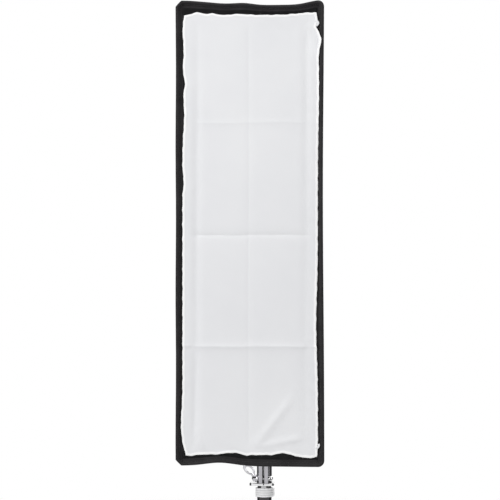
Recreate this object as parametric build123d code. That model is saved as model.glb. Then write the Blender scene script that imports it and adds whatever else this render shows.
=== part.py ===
"""Strip softbox on a tilting bracket and a short stand section, in millimetres.

The origin is the centre of the stand tube's lower end, +Z runs up the stand and the white front faces -Y.
Each sub-part is one STEP file in parts/, named after the piece it holds.
"""

from build123d import *
from math import cos, radians, sin
import os

# Softbox: driving dimensions
FRONT_WIDTH = 300.0
FRONT_HEIGHT = 940.0
FRONT_Y = -340.0  # foremost face of the rolled front edge
BACK_WIDTH = 164.0
BACK_HEIGHT = 196.0
AXIS_Z = 682.0  # height of the light axis above the tube's lower end
CLOTH_X = 1.7  # shell cloth, measured across the side panels
CLOTH_Z = 3.0  # the same cloth, measured across the steeper top and bottom panels

# Front edge: a rolled hem outside, a flat band with hook tape inside it
ROLL_WIDTH = 13.0
ROLL_DEPTH = 12.0
BAND_WIDTH = 30.0
BAND_THICK = 3.5
TAPE_THICK = 1.5
TAPE_START = 14.0  # inset of the tape from the outer edge
CORNER_CUT = 9.0
DIFFUSER_WIDTH = 272.0
DIFFUSER_HEIGHT = 896.0
DIFFUSER_THICK = 1.4

# Inner baffle
BAFFLE_Y = -214.0
BAFFLE_WIDTH = 172.0
BAFFLE_HEIGHT = 456.0
BAFFLE_THICK = 1.2
STRAP_WIDTH = 12.0
STRAP_THICK = 1.0

# Speedring, rods and their sockets
RING_FRONT_Y = -92.0
RING_THICK = 12.0
RING_RADIUS = 79.0
RING_BORE = 56.0
SOCKET_RADIUS = 69.0  # distance of the sockets from the light axis
SOCKET_ANGLE = 24.0  # degrees from the vertical
SOCKET_THICK = 13.0
SOCKET_LENGTH = 27.0
ROD_RADIUS = 2.5
ROD_BOW = 8.0
ROD_TIP = (136.0, -320.0, 440.0)  # from the light axis, in the first quadrant
CAP_RADIUS = 4.0
CAP_LENGTH = 20.0

# Insert and the bracket's bayonet ring
LIGHT_BORE = 48.5
HUB_RADIUS = 55.9
FLANGE_RADIUS = 64.0
FLANGE_BACK_Y = -76.0
SPIGOT_RADIUS = 52.0
SPIGOT_BACK_Y = -64.0
LUG_RADIUS = 56.0
MOUNT_RADIUS = 66.0
MOUNT_FRONT_Y = -75.7
MOUNT_BACK_Y = -60.0
GAP = 0.3  # running gap between faces that slide on each other

# Tilting bracket
PIVOT_Z = 548.0
PIVOT_BOLT = 4.0
CHEEK_IN = 9.6
CHEEK_OUT = 17.0
CHEEK_RADIUS = 14.0
FLOOR_Z = 578.0
FLOOR_THICK = 6.0
RECEIVER_BOTTOM = 480.3
RECEIVER_TOP = 528.0
RECEIVER_RADIUS = 17.0
RECEIVER_SCREW_Z = 500.0

# Stand section
TUBE_LENGTH = 110.0
TUBE_RADIUS = 15.9
TUBE_BORE = 13.5
TUBE_SPIGOT = 12.0
COLLAR_HEIGHT = 19.0
COLLAR_RADIUS = 19.5
NECK_HEIGHT = 6.0
PLATE_THICK = 6.0
CLAMP_HEIGHT = 55.0
CLAMP_RADIUS = 16.5
RISER_BOTTOM = 6.0
RISER_TOP = 480.0
RISER_TRAVEL = 100.0
RISER_RADIUS = 11.1
RISER_BORE = 9.6
STUD_RADIUS = 8.0
STUD_LENGTH = 38.0

COLLAR_TOP = TUBE_LENGTH + COLLAR_HEIGHT
PLATE_BOTTOM = COLLAR_TOP + NECK_HEIGHT
CLAMP_BOTTOM = PLATE_BOTTOM + PLATE_THICK
CLAMP_TOP = CLAMP_BOTTOM + CLAMP_HEIGHT
PASSAGE = RISER_RADIUS + 0.5  # clear hole for the riser

CLAMP_BOLT_Y = -20.0
CLAMP_BOLT_Z = CLAMP_BOTTOM + 10.5
HUB_X = -17.7  # centre of the lever's ball hub

RIM_BACK_Y = FRONT_Y + ROLL_DEPTH
BAND_FRONT_Y = RIM_BACK_Y - BAND_THICK
TAPE_FRONT_Y = BAND_FRONT_Y - TAPE_THICK
RING_BACK_Y = RING_FRONT_Y + RING_THICK
FLAP_BACK_Y = RING_BACK_Y - 0.5

QUADRANTS = {"top_right": (1, 1), "bottom_right": (1, -1), "bottom_left": (-1, -1), "top_left": (-1, 1)}


# Plain shapes, placed by their ends
def slab(x, y, z):
    """A box from its low and high bounds along each axis."""
    size = [high - low for low, high in (x, y, z)]
    middle = [(low + high) / 2 for low, high in (x, y, z)]
    return Pos(*middle) * Box(*size)


def upright(radius, low, high, x=0.0, y=0.0):
    """A cylinder along Z."""
    return Pos(x, y, (low + high) / 2) * Cylinder(radius, high - low)


def across(radius, low, high, y, z):
    """A cylinder along X."""
    return Pos((low + high) / 2, y, z) * Rot(0, 90, 0) * Cylinder(radius, high - low)


def endwise(radius, low, high, x=0.0, z=AXIS_Z):
    """A cylinder along Y."""
    return Pos(x, (low + high) / 2, z) * Rot(90, 0, 0) * Cylinder(radius, high - low)


def around_axis(radius, angle):
    """The X and Z of a point at an angle, counted from +X towards +Z, round the light axis."""
    return radius * cos(radians(angle)), AXIS_Z + radius * sin(radians(angle))


def along(start, direction, radius, length):
    """A cylinder that starts at a point and runs along a direction."""
    return extrude(Plane(origin=start, z_dir=direction) * Circle(radius), length)


def prism_between(near, far):
    """The solid with flat sides between two outlines of as many points."""
    n = len(near)
    sides = [[near[i], near[(i + 1) % n], far[(i + 1) % n], far[i]] for i in range(n)]
    faces = [Face(Wire.make_polygon(outline, close=True)) for outline in [near, far, *sides]]
    solid = Solid(Shell(faces))
    return solid if solid.volume > 0 else Solid(-solid.wrapped)


def outline_at(half_width, half_height, y):
    """The four corners of an upright rectangle round the light axis."""
    return [Vector(sx * half_width, y, AXIS_Z + sz * half_height) for sx, sz in QUADRANTS.values()]


def mitred_strips(profile):
    """Four strips round the light axis, mitred at the corners: top, bottom, left and right.

    The profile lists (half width, half height, y) for each corner line of the strip.
    """
    corners = {name: [Vector(sx * w, y, AXIS_Z + sz * h) for w, h, y in profile]
               for name, (sx, sz) in QUADRANTS.items()}
    ends = {"top": ("top_left", "top_right"), "bottom": ("bottom_left", "bottom_right"),
            "left": ("top_left", "bottom_left"), "right": ("top_right", "bottom_right")}
    return {side: prism_between(corners[a], corners[b]) for side, (a, b) in ends.items()}


# Cloth shell
def shell_panels():
    w, h = FRONT_WIDTH / 2, FRONT_HEIGHT / 2
    bw, bh = BACK_WIDTH / 2, BACK_HEIGHT / 2
    return mitred_strips([
        (w, h, RIM_BACK_Y),
        (w - CLOTH_X, h - CLOTH_Z, RIM_BACK_Y),
        (bw - CLOTH_X, bh - CLOTH_Z, RING_FRONT_Y),
        (bw, bh, RING_FRONT_Y),
    ])


def cavity(clear=0.0):
    """The space inside the shell panels, less a margin."""
    w, h = FRONT_WIDTH / 2 - CLOTH_X - clear, FRONT_HEIGHT / 2 - CLOTH_Z - 2 * clear
    bw, bh = BACK_WIDTH / 2 - CLOTH_X - clear, BACK_HEIGHT / 2 - CLOTH_Z - 2 * clear
    return prism_between(outline_at(w, h, RIM_BACK_Y), outline_at(bw, bh, RING_FRONT_Y))


def rim_strips():
    """Rolled outer edge with a flat band behind it, cut across at the corners."""
    w, h = FRONT_WIDTH / 2, FRONT_HEIGHT / 2
    strips = mitred_strips([
        (w, h, RIM_BACK_Y),
        (w, h, FRONT_Y),
        (w - ROLL_WIDTH, h - ROLL_WIDTH, FRONT_Y),
        (w - ROLL_WIDTH, h - ROLL_WIDTH, BAND_FRONT_Y),
        (w - BAND_WIDTH, h - BAND_WIDTH, BAND_FRONT_Y),
        (w - BAND_WIDTH, h - BAND_WIDTH, RIM_BACK_Y),
    ])
    keep = extrude(
        Plane(origin=(0, RIM_BACK_Y, AXIS_Z), x_dir=(1, 0, 0), z_dir=(0, -1, 0))
        * chamfer(Rectangle(FRONT_WIDTH, FRONT_HEIGHT).vertices(), CORNER_CUT),
        ROLL_DEPTH,
    )
    return {side: strip & keep for side, strip in strips.items()}


def hook_tape():
    """Four strips of hook tape sewn to the front of the band."""
    w, h = FRONT_WIDTH / 2, FRONT_HEIGHT / 2
    edge, inner = TAPE_START, BAND_WIDTH - 1
    y = (TAPE_FRONT_Y, BAND_FRONT_Y)
    strips = []
    for s in (-1, 1):
        x = sorted((s * (w - edge), s * (w - inner)))
        z = sorted((s * (h - edge), s * (h - inner)))
        strips.append(slab(x, y, (AXIS_Z - h + inner + 1, AXIS_Z + h - inner - 1)))
        strips.append(slab((edge - w, w - edge), y, (AXIS_Z + z[0], AXIS_Z + z[1])))
    return Compound(strips)


def front_diffuser():
    y = (TAPE_FRONT_Y - DIFFUSER_THICK - 0.1, TAPE_FRONT_Y - 0.1)
    z = (AXIS_Z - DIFFUSER_HEIGHT / 2, AXIS_Z + DIFFUSER_HEIGHT / 2)
    return slab((-DIFFUSER_WIDTH / 2, DIFFUSER_WIDTH / 2), y, z)


def rear_flaps():
    """Four cloth flaps that run back from the shell and turn in against the speedring."""
    bw, bh = BACK_WIDTH / 2, BACK_HEIGHT / 2
    skirts = mitred_strips([
        (bw, bh, RING_FRONT_Y),
        (bw - CLOTH_X, bh - CLOTH_X, RING_FRONT_Y),
        (bw - CLOTH_X, bh - CLOTH_X, FLAP_BACK_Y),
        (bw, bh, FLAP_BACK_Y),
    ])
    turned = mitred_strips([
        (bw, bh, FLAP_BACK_Y - CLOTH_X),
        (1, 1, FLAP_BACK_Y - CLOTH_X),
        (1, 1, FLAP_BACK_Y),
        (bw, bh, FLAP_BACK_Y),
    ])
    hole = endwise(RING_RADIUS + 0.4, RING_FRONT_Y - 1, RING_BACK_Y + 1)
    return {side: skirts[side] + (turned[side] - hole) for side in skirts}


def inner_baffle():
    return slab((-BAFFLE_WIDTH / 2, BAFFLE_WIDTH / 2), (BAFFLE_Y, BAFFLE_Y + BAFFLE_THICK),
                (AXIS_Z - BAFFLE_HEIGHT / 2, AXIS_Z + BAFFLE_HEIGHT / 2))


def baffle_straps():
    """Elastic straps from the baffle's corners to the corner seams of the shell."""
    y = BAFFLE_Y + BAFFLE_THICK
    room = cavity(0.3)
    straps = []
    for sx, sz in QUADRANTS.values():
        start = Vector(sx * (BAFFLE_WIDTH / 2 - 6), y, AXIS_Z + sz * (BAFFLE_HEIGHT / 2 - 8))
        end = Vector(sx * 118, y, AXIS_Z + sz * 292)
        run = (end - start).normalized()
        side = run.cross(Vector(0, 1, 0)) * (STRAP_WIDTH / 2)
        near = [start - side, start + side, end + side, end - side]
        far = [p + Vector(0, STRAP_THICK, 0) for p in near]
        straps += (prism_between(near, far) & room).solids()
    return Compound(straps)


# Rods, with their caps, sockets and pockets
def rod_line(sx, sz):
    """The bowed centre line of one rod, from its socket to its corner."""
    a = radians(SOCKET_ANGLE)
    foot = Vector(sx * SOCKET_RADIUS * sin(a), RING_FRONT_Y - 7.0, AXIS_Z + sz * SOCKET_RADIUS * cos(a))
    tip = Vector(sx * ROD_TIP[0], ROD_TIP[1], AXIS_Z + sz * ROD_TIP[2])
    chord = (tip - foot).normalized()
    outward = Vector(sx * ROD_TIP[0], 0, sz * ROD_TIP[2]).normalized()
    bow = (outward - chord * outward.dot(chord)).normalized()
    return ThreePointArc(foot, (foot + tip) * 0.5 + bow * ROD_BOW, tip)


def rod(line):
    """Spring steel rod, 4 mm clear of the bottom of its socket."""
    trimmed = line.trim(4.0 / line.length, 1.0)
    return sweep(Plane(origin=trimmed @ 0, z_dir=trimmed % 0) * Circle(ROD_RADIUS), path=trimmed)


def rod_cap(line, steel):
    """Plastic cap on the rod's front end, with a rounded nose."""
    tip, run = line @ 1, line % 1
    body = along(tip - run * (CAP_LENGTH - 5), run, CAP_RADIUS, CAP_LENGTH) + Pos(*(tip + run * 5)) * Sphere(CAP_RADIUS)
    return body - steel


def rod_socket(sx, sz, line, steel):
    """Socket tube on a foot that is screwed to the speedring."""
    turn = sx * sz * SOCKET_ANGLE
    a = radians(SOCKET_ANGLE)
    x, z = sx * SOCKET_RADIUS * sin(a), AXIS_Z + sz * SOCKET_RADIUS * cos(a)
    foot = Pos(x, RING_FRONT_Y - 2, z) * Rot(0, turn, 0) * Box(36, 4, 16)
    barrel = along(line @ 0, line % 0, SOCKET_THICK / 2, SOCKET_LENGTH)
    collar = along(line @ 0 + (line % 0) * (SOCKET_LENGTH - 5), line % 0, SOCKET_THICK / 2 + 1.2, 5)
    body = foot + barrel + collar - slab((-200, 200), (RING_FRONT_Y, 0), (0, 1300)) - steel
    for hx, hz in socket_screw_places(sx, sz):
        body -= endwise(2.1, RING_FRONT_Y - 5, RING_FRONT_Y, hx, hz)
    return body


def socket_screw_places(sx, sz):
    """The two screws of one socket, either side of it along the ring."""
    a = radians(SOCKET_ANGLE)
    for side in (-13.5, 13.5):
        yield (sx * (SOCKET_RADIUS * sin(a) + side * cos(a)), AXIS_Z + sz * (SOCKET_RADIUS * cos(a) - side * sin(a)))


def button_screw(x, z, seat_y, reach, radius=2.0, head=3.4):
    """A round-headed screw along Y whose head sits on the front of seat_y, with a hexagon socket."""
    shank = endwise(radius, seat_y, seat_y + reach, x, z)
    top = endwise(head, seat_y - 2.4, seat_y, x, z)
    top = fillet(top.edges().sort_by(Axis.Y)[0], 1.2)
    key = Pos(x, seat_y - 2.4, z) * Rot(90, 0, 0) * extrude(RegularPolygon(1.5, 6), -1.4)
    return shank + top - key


def corner_pocket(sx, sz, cap):
    """Webbing pocket that holds the rod's cap behind one front corner."""
    x = sorted((sx * 119, sx * FRONT_WIDTH / 2))
    z = sorted((AXIS_Z + sz * 417, AXIS_Z + sz * FRONT_HEIGHT / 2))
    block = slab(x, (RIM_BACK_Y + 0.1, RIM_BACK_Y + 19), z) & cavity(0.3)
    return block - cap


# Speedring
def speedring():
    ring = endwise(RING_RADIUS, RING_FRONT_Y, RING_BACK_Y) - endwise(RING_BORE, RING_FRONT_Y, RING_BACK_Y)
    ring -= endwise(RING_RADIUS - 4, RING_BACK_Y - 5, RING_BACK_Y - 3.0) - endwise(RING_RADIUS - 12, -100, -70)
    ring = chamfer(ring.edges().filter_by(GeomType.CIRCLE).sort_by(Axis.Y)[0], 0.8)
    for sx, sz in QUADRANTS.values():
        for x, z in socket_screw_places(sx, sz):
            ring -= endwise(2.05, RING_FRONT_Y, RING_FRONT_Y + 7, x, z)
    return ring


def speedring_insert():
    """Inner ring that stays still while the speedring turns on its hub."""
    hub_front = RING_FRONT_Y - GAP
    flange_front = RING_BACK_Y + GAP
    body = endwise(HUB_RADIUS, hub_front, flange_front)
    body += endwise(FLANGE_RADIUS, flange_front, FLANGE_BACK_Y)
    body += endwise(SPIGOT_RADIUS, FLANGE_BACK_Y, SPIGOT_BACK_Y)
    ear = slab((55, 74), (flange_front, FLANGE_BACK_Y), (AXIS_Z - 8, AXIS_Z + 8))
    body += ear + endwise(8, flange_front, FLANGE_BACK_Y, 74, AXIS_Z)
    lugs = endwise(LUG_RADIUS, -70.3, -66.3) - endwise(SPIGOT_RADIUS, -71, -66)
    for angle in (90, 210, 330):
        body += lugs & sector(angle, 36)
    body -= endwise(LIGHT_BORE, hub_front - 1, SPIGOT_BACK_Y + 1)
    body -= endwise(2.05, flange_front - 1, FLANGE_BACK_Y + 1, 74, AXIS_Z)
    body -= endwise(2.2, flange_front - 1, FLANGE_BACK_Y + 1, *LATCH)
    for angle in (45, 135, 225, 315):
        body -= endwise(1.55, hub_front - 1, hub_front + 8, *around_axis(52.2, angle))
    return body


def sector(angle, spread):
    """A wedge round the light axis, for cutting arcs of rings."""
    reach = 90
    tips = [around_axis(reach, angle - spread / 2), around_axis(reach * 1.2, angle),
            around_axis(reach, angle + spread / 2)]
    near = [Vector(0, -100, AXIS_Z)] + [Vector(x, -100, z) for x, z in tips]
    far = [p + Vector(0, 60, 0) for p in near]
    return prism_between(near, far)


def retainer_ring():
    """Plate that keeps the speedring on the insert's hub."""
    y = (RING_FRONT_Y - GAP - 3, RING_FRONT_Y - GAP)
    ring = endwise(59.0, *y) - endwise(50.0, *y)
    ring = chamfer(ring.edges().filter_by(GeomType.CIRCLE).sort_by(Axis.Y)[0:2], 0.6)
    for angle in (45, 135, 225, 315):
        ring -= endwise(1.6, y[0] - 1, y[1] + 1, *around_axis(52.2, angle))
    return ring


def retainer_screws():
    seat = RING_FRONT_Y - GAP - 3
    return Compound([button_screw(*around_axis(52.2, angle), seat, 10, 1.5, 2.0)
                     for angle in (45, 135, 225, 315)])


# Bracket's bayonet ring and its latch
LATCH = around_axis(60, 135)
LATCH_RECESS_Y = MOUNT_BACK_Y + 3
LATCH_BOSS_Y = MOUNT_BACK_Y + 18


def mount_ring():
    body = endwise(MOUNT_RADIUS, MOUNT_FRONT_Y, MOUNT_BACK_Y)
    body = fillet(body.edges().filter_by(GeomType.CIRCLE), 1.5)
    body += endwise(8.0, MOUNT_BACK_Y - 2, LATCH_BOSS_Y, *LATCH)
    body -= endwise(SPIGOT_RADIUS + 0.4, MOUNT_FRONT_Y - 1, LATCH_BOSS_Y + 1)
    groove = endwise(LUG_RADIUS + 0.5, -70.8, -65.8)
    body -= groove
    entry = endwise(LUG_RADIUS + 0.5, MOUNT_FRONT_Y - 1, -70.0)
    for angle in (30, 150, 270):
        body -= entry & sector(angle, 42)
    body -= endwise(2.15, MOUNT_FRONT_Y - 1, LATCH_BOSS_Y + 1, *LATCH)
    body -= endwise(5.2, LATCH_RECESS_Y, LATCH_BOSS_Y + 1, *LATCH)
    for sx in (-1, 1):
        body -= endwise(2.05, MOUNT_BACK_Y - 9, MOUNT_BACK_Y + 1, sx * 12, AXIS_Z - 60.1)
    return body


def latch_pin():
    """Pin that locks the insert, with a collar for the spring to press on."""
    pin = endwise(2.0, FLANGE_BACK_Y - 2, LATCH_BOSS_Y + 12, *LATCH)
    return pin + endwise(4.6, LATCH_RECESS_Y + GAP, LATCH_RECESS_Y + 1.5, *LATCH)


def latch_cap():
    """Plug that closes the boss and backs the spring."""
    body = endwise(5.2, LATCH_BOSS_Y - 3, LATCH_BOSS_Y, *LATCH)
    body += endwise(7.0, LATCH_BOSS_Y, LATCH_BOSS_Y + 1.5, *LATCH)
    return body - endwise(2.15, LATCH_BOSS_Y - 4, LATCH_BOSS_Y + 2, *LATCH)


def latch_button():
    """Pull button with a grooved rim, fixed to the latch pin."""
    x, z = LATCH
    low, high = LATCH_BOSS_Y + 5, LATCH_BOSS_Y + 14
    grip = endwise(8.0, low, high, x, z)
    grip = fillet(grip.edges().filter_by(GeomType.CIRCLE), 1.2)
    for i in range(16):
        a = radians(i * 22.5)
        grip -= endwise(0.8, low - 1, high + 1, x + 8.2 * cos(a), z + 8.2 * sin(a))
    body = endwise(4.0, LATCH_BOSS_Y + 1.9, low, x, z) + grip
    return body - endwise(2.0, LATCH_BOSS_Y, LATCH_BOSS_Y + 12, x, z)


def latch_spring():
    """Coil spring between the pin's collar and the cap, which pushes the pin forwards."""
    low, high = LATCH_RECESS_Y + 2, LATCH_BOSS_Y - 3.5
    turns = 4
    coil = Helix(pitch=(high - low) / turns, height=high - low, radius=3.6)
    wire = sweep(Plane(origin=coil @ 0, z_dir=coil % 0) * Circle(0.4), path=coil)
    return Pos(LATCH[0], low, LATCH[1]) * Rot(-90, 0, 0) * wire


def ring_lock_screw():
    return endwise(2.0, RING_BACK_Y + GAP, FLANGE_BACK_Y + 12, 74, AXIS_Z)


def lobed_knob(radius, height, lobes, depth=0.9):
    """A knob along Z from 0 to its height, with scallops round its rim."""
    body = Pos(0, 0, height / 2) * Cylinder(radius, height)
    body = fillet(body.edges().filter_by(GeomType.CIRCLE), min(1.6, height / 5))
    for i in range(lobes):
        a = radians(i * 360 / lobes)
        cutter = Pos((radius + depth) * cos(a), (radius + depth) * sin(a), height / 2)
        body -= cutter * Cylinder(2 * depth, height + 2)
    return body


def ring_lock_knob():
    body = Pos(74, FLANGE_BACK_Y + 0.4, AXIS_Z) * Rot(-90, 0, 0) * lobed_knob(6.8, 11, 12, 0.6)
    return body - endwise(2.0, RING_BACK_Y, FLANGE_BACK_Y + 12, 74, AXIS_Z)


# Tilting yoke
def tilt_yoke():
    """Casting that joins the bayonet ring to the tilt pivot."""
    plate_back = MOUNT_BACK_Y + 7
    body = slab((-20, 20), (MOUNT_BACK_Y, plate_back), (FLOOR_Z, AXIS_Z - 54))
    body = fillet(body.edges().filter_by(Axis.Y).sort_by(Axis.Z)[-2:], 6)
    body += slab((-CHEEK_OUT, CHEEK_OUT), (MOUNT_BACK_Y, 22), (FLOOR_Z, FLOOR_Z + FLOOR_THICK))
    for sx in (-1, 1):
        x = sorted((sx * CHEEK_IN, sx * CHEEK_OUT))
        body += slab(x, (-CHEEK_RADIUS, CHEEK_RADIUS), (PIVOT_Z, FLOOR_Z))
        body += across(CHEEK_RADIUS, *x, 0, PIVOT_Z)
        rib = sorted((sx * 13.5, sx * CHEEK_OUT))
        near = [Vector(rib[0], plate_back, FLOOR_Z + FLOOR_THICK), Vector(rib[0], 4, FLOOR_Z + FLOOR_THICK),
                Vector(rib[0], plate_back, FLOOR_Z + 38)]
        body += prism_between(near, [p + Vector(rib[1] - rib[0], 0, 0) for p in near])
        body -= endwise(2.1, MOUNT_BACK_Y - 1, plate_back + 1, sx * 12, AXIS_Z - 60.1)
    body -= across(PIVOT_BOLT + 0.1, -20, 20, 0, PIVOT_Z)
    for y in (-38, -8):
        body -= upright(2.05, FLOOR_Z - 1, FLOOR_Z + FLOOR_THICK + 1, 0, y)
    return body


def yoke_screws():
    """Cap screws that hold the yoke to the bayonet ring, entered from behind."""
    seat = MOUNT_BACK_Y + 7
    screws = []
    for sx in (-1, 1):
        x, z = sx * 12, AXIS_Z - 60.1
        body = endwise(2.0, seat - 14, seat, x, z) + endwise(3.5, seat, seat + 4, x, z)
        body -= Pos(x, seat + 4, z) * Rot(90, 0, 0) * extrude(RegularPolygon(1.7, 6), 2, both=True)
        screws.append(body)
    return Compound(screws)


def receiver():
    """Stand socket with the inner half of the tilt hinge on top."""
    body = upright(RECEIVER_RADIUS, RECEIVER_BOTTOM, RECEIVER_TOP)
    body = chamfer(body.edges().filter_by(GeomType.CIRCLE), 1.5)
    body += slab((-9, 9), (-13.5, 13.5), (RECEIVER_TOP - 6, PIVOT_Z))
    body += across(13.5, -9, 9, 0, PIVOT_Z)
    boss = across(8.5, -24, -12, 0, RECEIVER_SCREW_Z)
    body += fillet(boss.edges().sort_by(Axis.X)[0], 1)
    body -= upright(STUD_RADIUS + 0.05, RECEIVER_BOTTOM - 1, RISER_TOP + STUD_LENGTH + 1)
    body -= across(3.05, -26, -5, 0, RECEIVER_SCREW_Z)
    body -= across(PIVOT_BOLT + 0.1, -20, 20, 0, PIVOT_Z)
    return body


def friction_washers():
    return Compound([across(13.0, *sorted((s * 9.05, s * 9.55)), 0, PIVOT_Z)
                     - across(PIVOT_BOLT + 0.2, -20, 20, 0, PIVOT_Z) for s in (-1, 1)])


def pivot_bolt():
    return across(PIVOT_BOLT, -25, 24, 0, PIVOT_Z)


def pivot_nut():
    nut = Pos(-17.2, 0, PIVOT_Z) * Rot(0, -90, 0) * extrude(RegularPolygon(6.5, 6, major_radius=False), 6.5)
    return nut - across(PIVOT_BOLT, -30, 0, 0, PIVOT_Z)


def tilt_lever():
    """Clamping lever of the tilt hinge, hanging back and down from its hub."""
    hub = across(10.5, CHEEK_OUT + GAP, 31, 0, PIVOT_Z)
    hub = fillet(hub.edges().sort_by(Axis.X)[-1], 3)
    start = Vector(25, 0, PIVOT_Z)
    run = Vector(0.28, 0.66, -0.72).normalized()
    frame = Plane(origin=start, x_dir=run.cross(Vector(1, 0, 0)), z_dir=run)
    grip = loft([frame * Circle(5.0), frame.offset(40) * Ellipse(5.5, 4.0), frame.offset(62) * Ellipse(8.0, 4.6)])
    body = hub + grip + Pos(*(start + run * 62)) * Sphere(4.6)
    return body - across(PIVOT_BOLT + 0.05, 0, 24.5, 0, PIVOT_Z)


def receiver_screw():
    """Thumb screw that bears in the groove of the stud."""
    return across(3.0, -30, -7.4, 0, RECEIVER_SCREW_Z)


def receiver_knob():
    body = Pos(-25, 0, RECEIVER_SCREW_Z) * Rot(0, -90, 0) * lobed_knob(12, 15, 8, 1.6)
    return body - across(3.0, -30, 0, 0, RECEIVER_SCREW_Z)


# Shoe for a small flash
def shoe_bar():
    z = (FLOOR_Z + FLOOR_THICK, FLOOR_Z + FLOOR_THICK + 4)
    bar = slab((-10, 10), (-50, 98), z)
    bar = fillet(bar.edges().filter_by(Axis.Z), 4)
    slot = slab((-3.3, 3.3), (31, 89), z)
    bar -= slot + upright(3.3, *z, 0, 31) + upright(3.3, *z, 0, 89)
    for y in (-38, -8):
        bar -= upright(2.1, *z, 0, y)
    return bar


def bar_screws():
    seat = FLOOR_Z + FLOOR_THICK + 4
    screws = []
    for y in (-38, -8):
        head = upright(4.0, seat, seat + 2.6, 0, y)
        head = fillet(head.edges().sort_by(Axis.Z)[-1], 1.2)
        key = Pos(0, y, seat + 2.6) * extrude(RegularPolygon(1.7, 6), -1.5)
        screws.append(upright(2.0, FLOOR_Z + 0.5, seat, 0, y) + head - key)
    return Compound(screws)


SHOE_Y = 60.0
SHOE_Z = FLOOR_Z + FLOOR_THICK + 4 + GAP


def cold_shoe():
    """Shoe block with a T-shaped channel along Y."""
    body = slab((-13, 13), (SHOE_Y - 11, SHOE_Y + 11), (SHOE_Z, SHOE_Z + 11))
    body = fillet(body.edges().filter_by(Axis.Z), 2)
    body -= slab((-9.35, 9.35), (SHOE_Y - 9, SHOE_Y + 12), (SHOE_Z + 6.4, SHOE_Z + 8.6))
    body -= slab((-6.4, 6.4), (SHOE_Y - 9, SHOE_Y + 12), (SHOE_Z + 6.4, SHOE_Z + 12))
    return body - upright(3.0, SHOE_Z - 1, SHOE_Z + 5, 0, SHOE_Y)


def shoe_screw():
    return upright(2.95, FLOOR_Z - 4, SHOE_Z + 4.8, 0, SHOE_Y)


def shoe_knob():
    body = Pos(0, SHOE_Y, FLOOR_Z - 10) * lobed_knob(11, 15.5, 10, 1.2)
    return body - upright(3.0, FLOOR_Z - 4.5, FLOOR_Z + 10, 0, SHOE_Y)


# Stand section
def stand_tube():
    body = upright(TUBE_RADIUS, 0, TUBE_LENGTH)
    body = chamfer(body.edges().filter_by(GeomType.CIRCLE).sort_by(Axis.Z)[0], 0.8)
    body += upright(15.0, TUBE_LENGTH, TUBE_LENGTH + TUBE_SPIGOT)
    return body - upright(TUBE_BORE, -1, TUBE_LENGTH + TUBE_SPIGOT + 1)


def lock_collar():
    """Ribbed collar on top of the tube, with a lug for its screw."""
    body = upright(COLLAR_RADIUS, TUBE_LENGTH, COLLAR_TOP)
    body += fillet(slab((0, 21.5), (-8, 8), (TUBE_LENGTH + 1.5, COLLAR_TOP - 1.5)).edges().filter_by(Axis.Z), 3)
    body = fillet(body.edges().filter_by(GeomType.CIRCLE).group_by(Axis.Z)[-1], 1.2)
    for z in (TUBE_LENGTH + 4.5, TUBE_LENGTH + 9.5, TUBE_LENGTH + 14.5):
        body -= upright(COLLAR_RADIUS + 1, z - 0.7, z + 0.7) - upright(COLLAR_RADIUS - 0.9, z - 1, z + 1)
    body -= upright(15.05, TUBE_LENGTH - 1, TUBE_LENGTH + TUBE_SPIGOT)
    body -= upright(PASSAGE, TUBE_LENGTH, COLLAR_TOP + 1)
    z = TUBE_LENGTH + 7
    return body - across(2.0, 14, 22, 0, z) - across(3.6, 18.5, 23, 0, z)


def collar_screw():
    z = TUBE_LENGTH + 7
    body = across(1.95, 15.2, 18.6, 0, z) + across(3.4, 18.55, 21.2, 0, z)
    return body - Pos(21.2, 0, z) * Rot(0, 90, 0) * extrude(RegularPolygon(1.7, 6), 1.6, both=True)


def neck_places():
    """Directions of the four neck screws, in degrees from the front."""
    return (-38, 34, 142, -146)


def neck_ring():
    """Spacer with four wide pockets in its side, a grub screw at the bottom of each."""
    body = upright(15.2, COLLAR_TOP, PLATE_BOTTOM) - upright(PASSAGE, COLLAR_TOP, PLATE_BOTTOM)
    for angle in neck_places():
        out = Vector(sin(radians(angle)), -cos(radians(angle)), 0)
        middle = Vector(0, 0, (COLLAR_TOP + PLATE_BOTTOM) / 2)
        body -= neck_hole(angle, 1.6, 8, 20)
        body -= extrude(Plane(origin=middle + out * 13.6, x_dir=out.cross(Vector(0, 0, 1)), z_dir=out)
                        * SlotOverall(8.5, 4.2), 4)
    return body


def neck_hole(angle, radius, start, end):
    out = Vector(sin(radians(angle)), -cos(radians(angle)), 0)
    middle = (COLLAR_TOP + PLATE_BOTTOM) / 2
    return along(Vector(0, 0, middle) + out * start, out, radius, end - start)


def neck_screws():
    """Small screws sunk in the pockets of the neck."""
    return Compound([neck_hole(a, 1.55, 12.0, 14.2) + neck_hole(a, 2.0, 13.6, 15.0) - neck_hole(a, 0.9, 14.2, 16)
                     for a in neck_places()])


def base_plate():
    """Footplate of the riser clamp, longer on the lever's side."""
    body = slab((-32, 22), (-21, 21), (PLATE_BOTTOM, CLAMP_BOTTOM))
    body = fillet(body.edges().filter_by(Axis.Z), 13)
    body = chamfer(body.edges().group_by(Axis.Z)[-1], 1.2)
    body -= endwise(1.6, -22, -15, 0, (PLATE_BOTTOM + CLAMP_BOTTOM) / 2)
    return body - upright(PASSAGE, PLATE_BOTTOM - 1, CLAMP_BOTTOM + 1)


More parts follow.
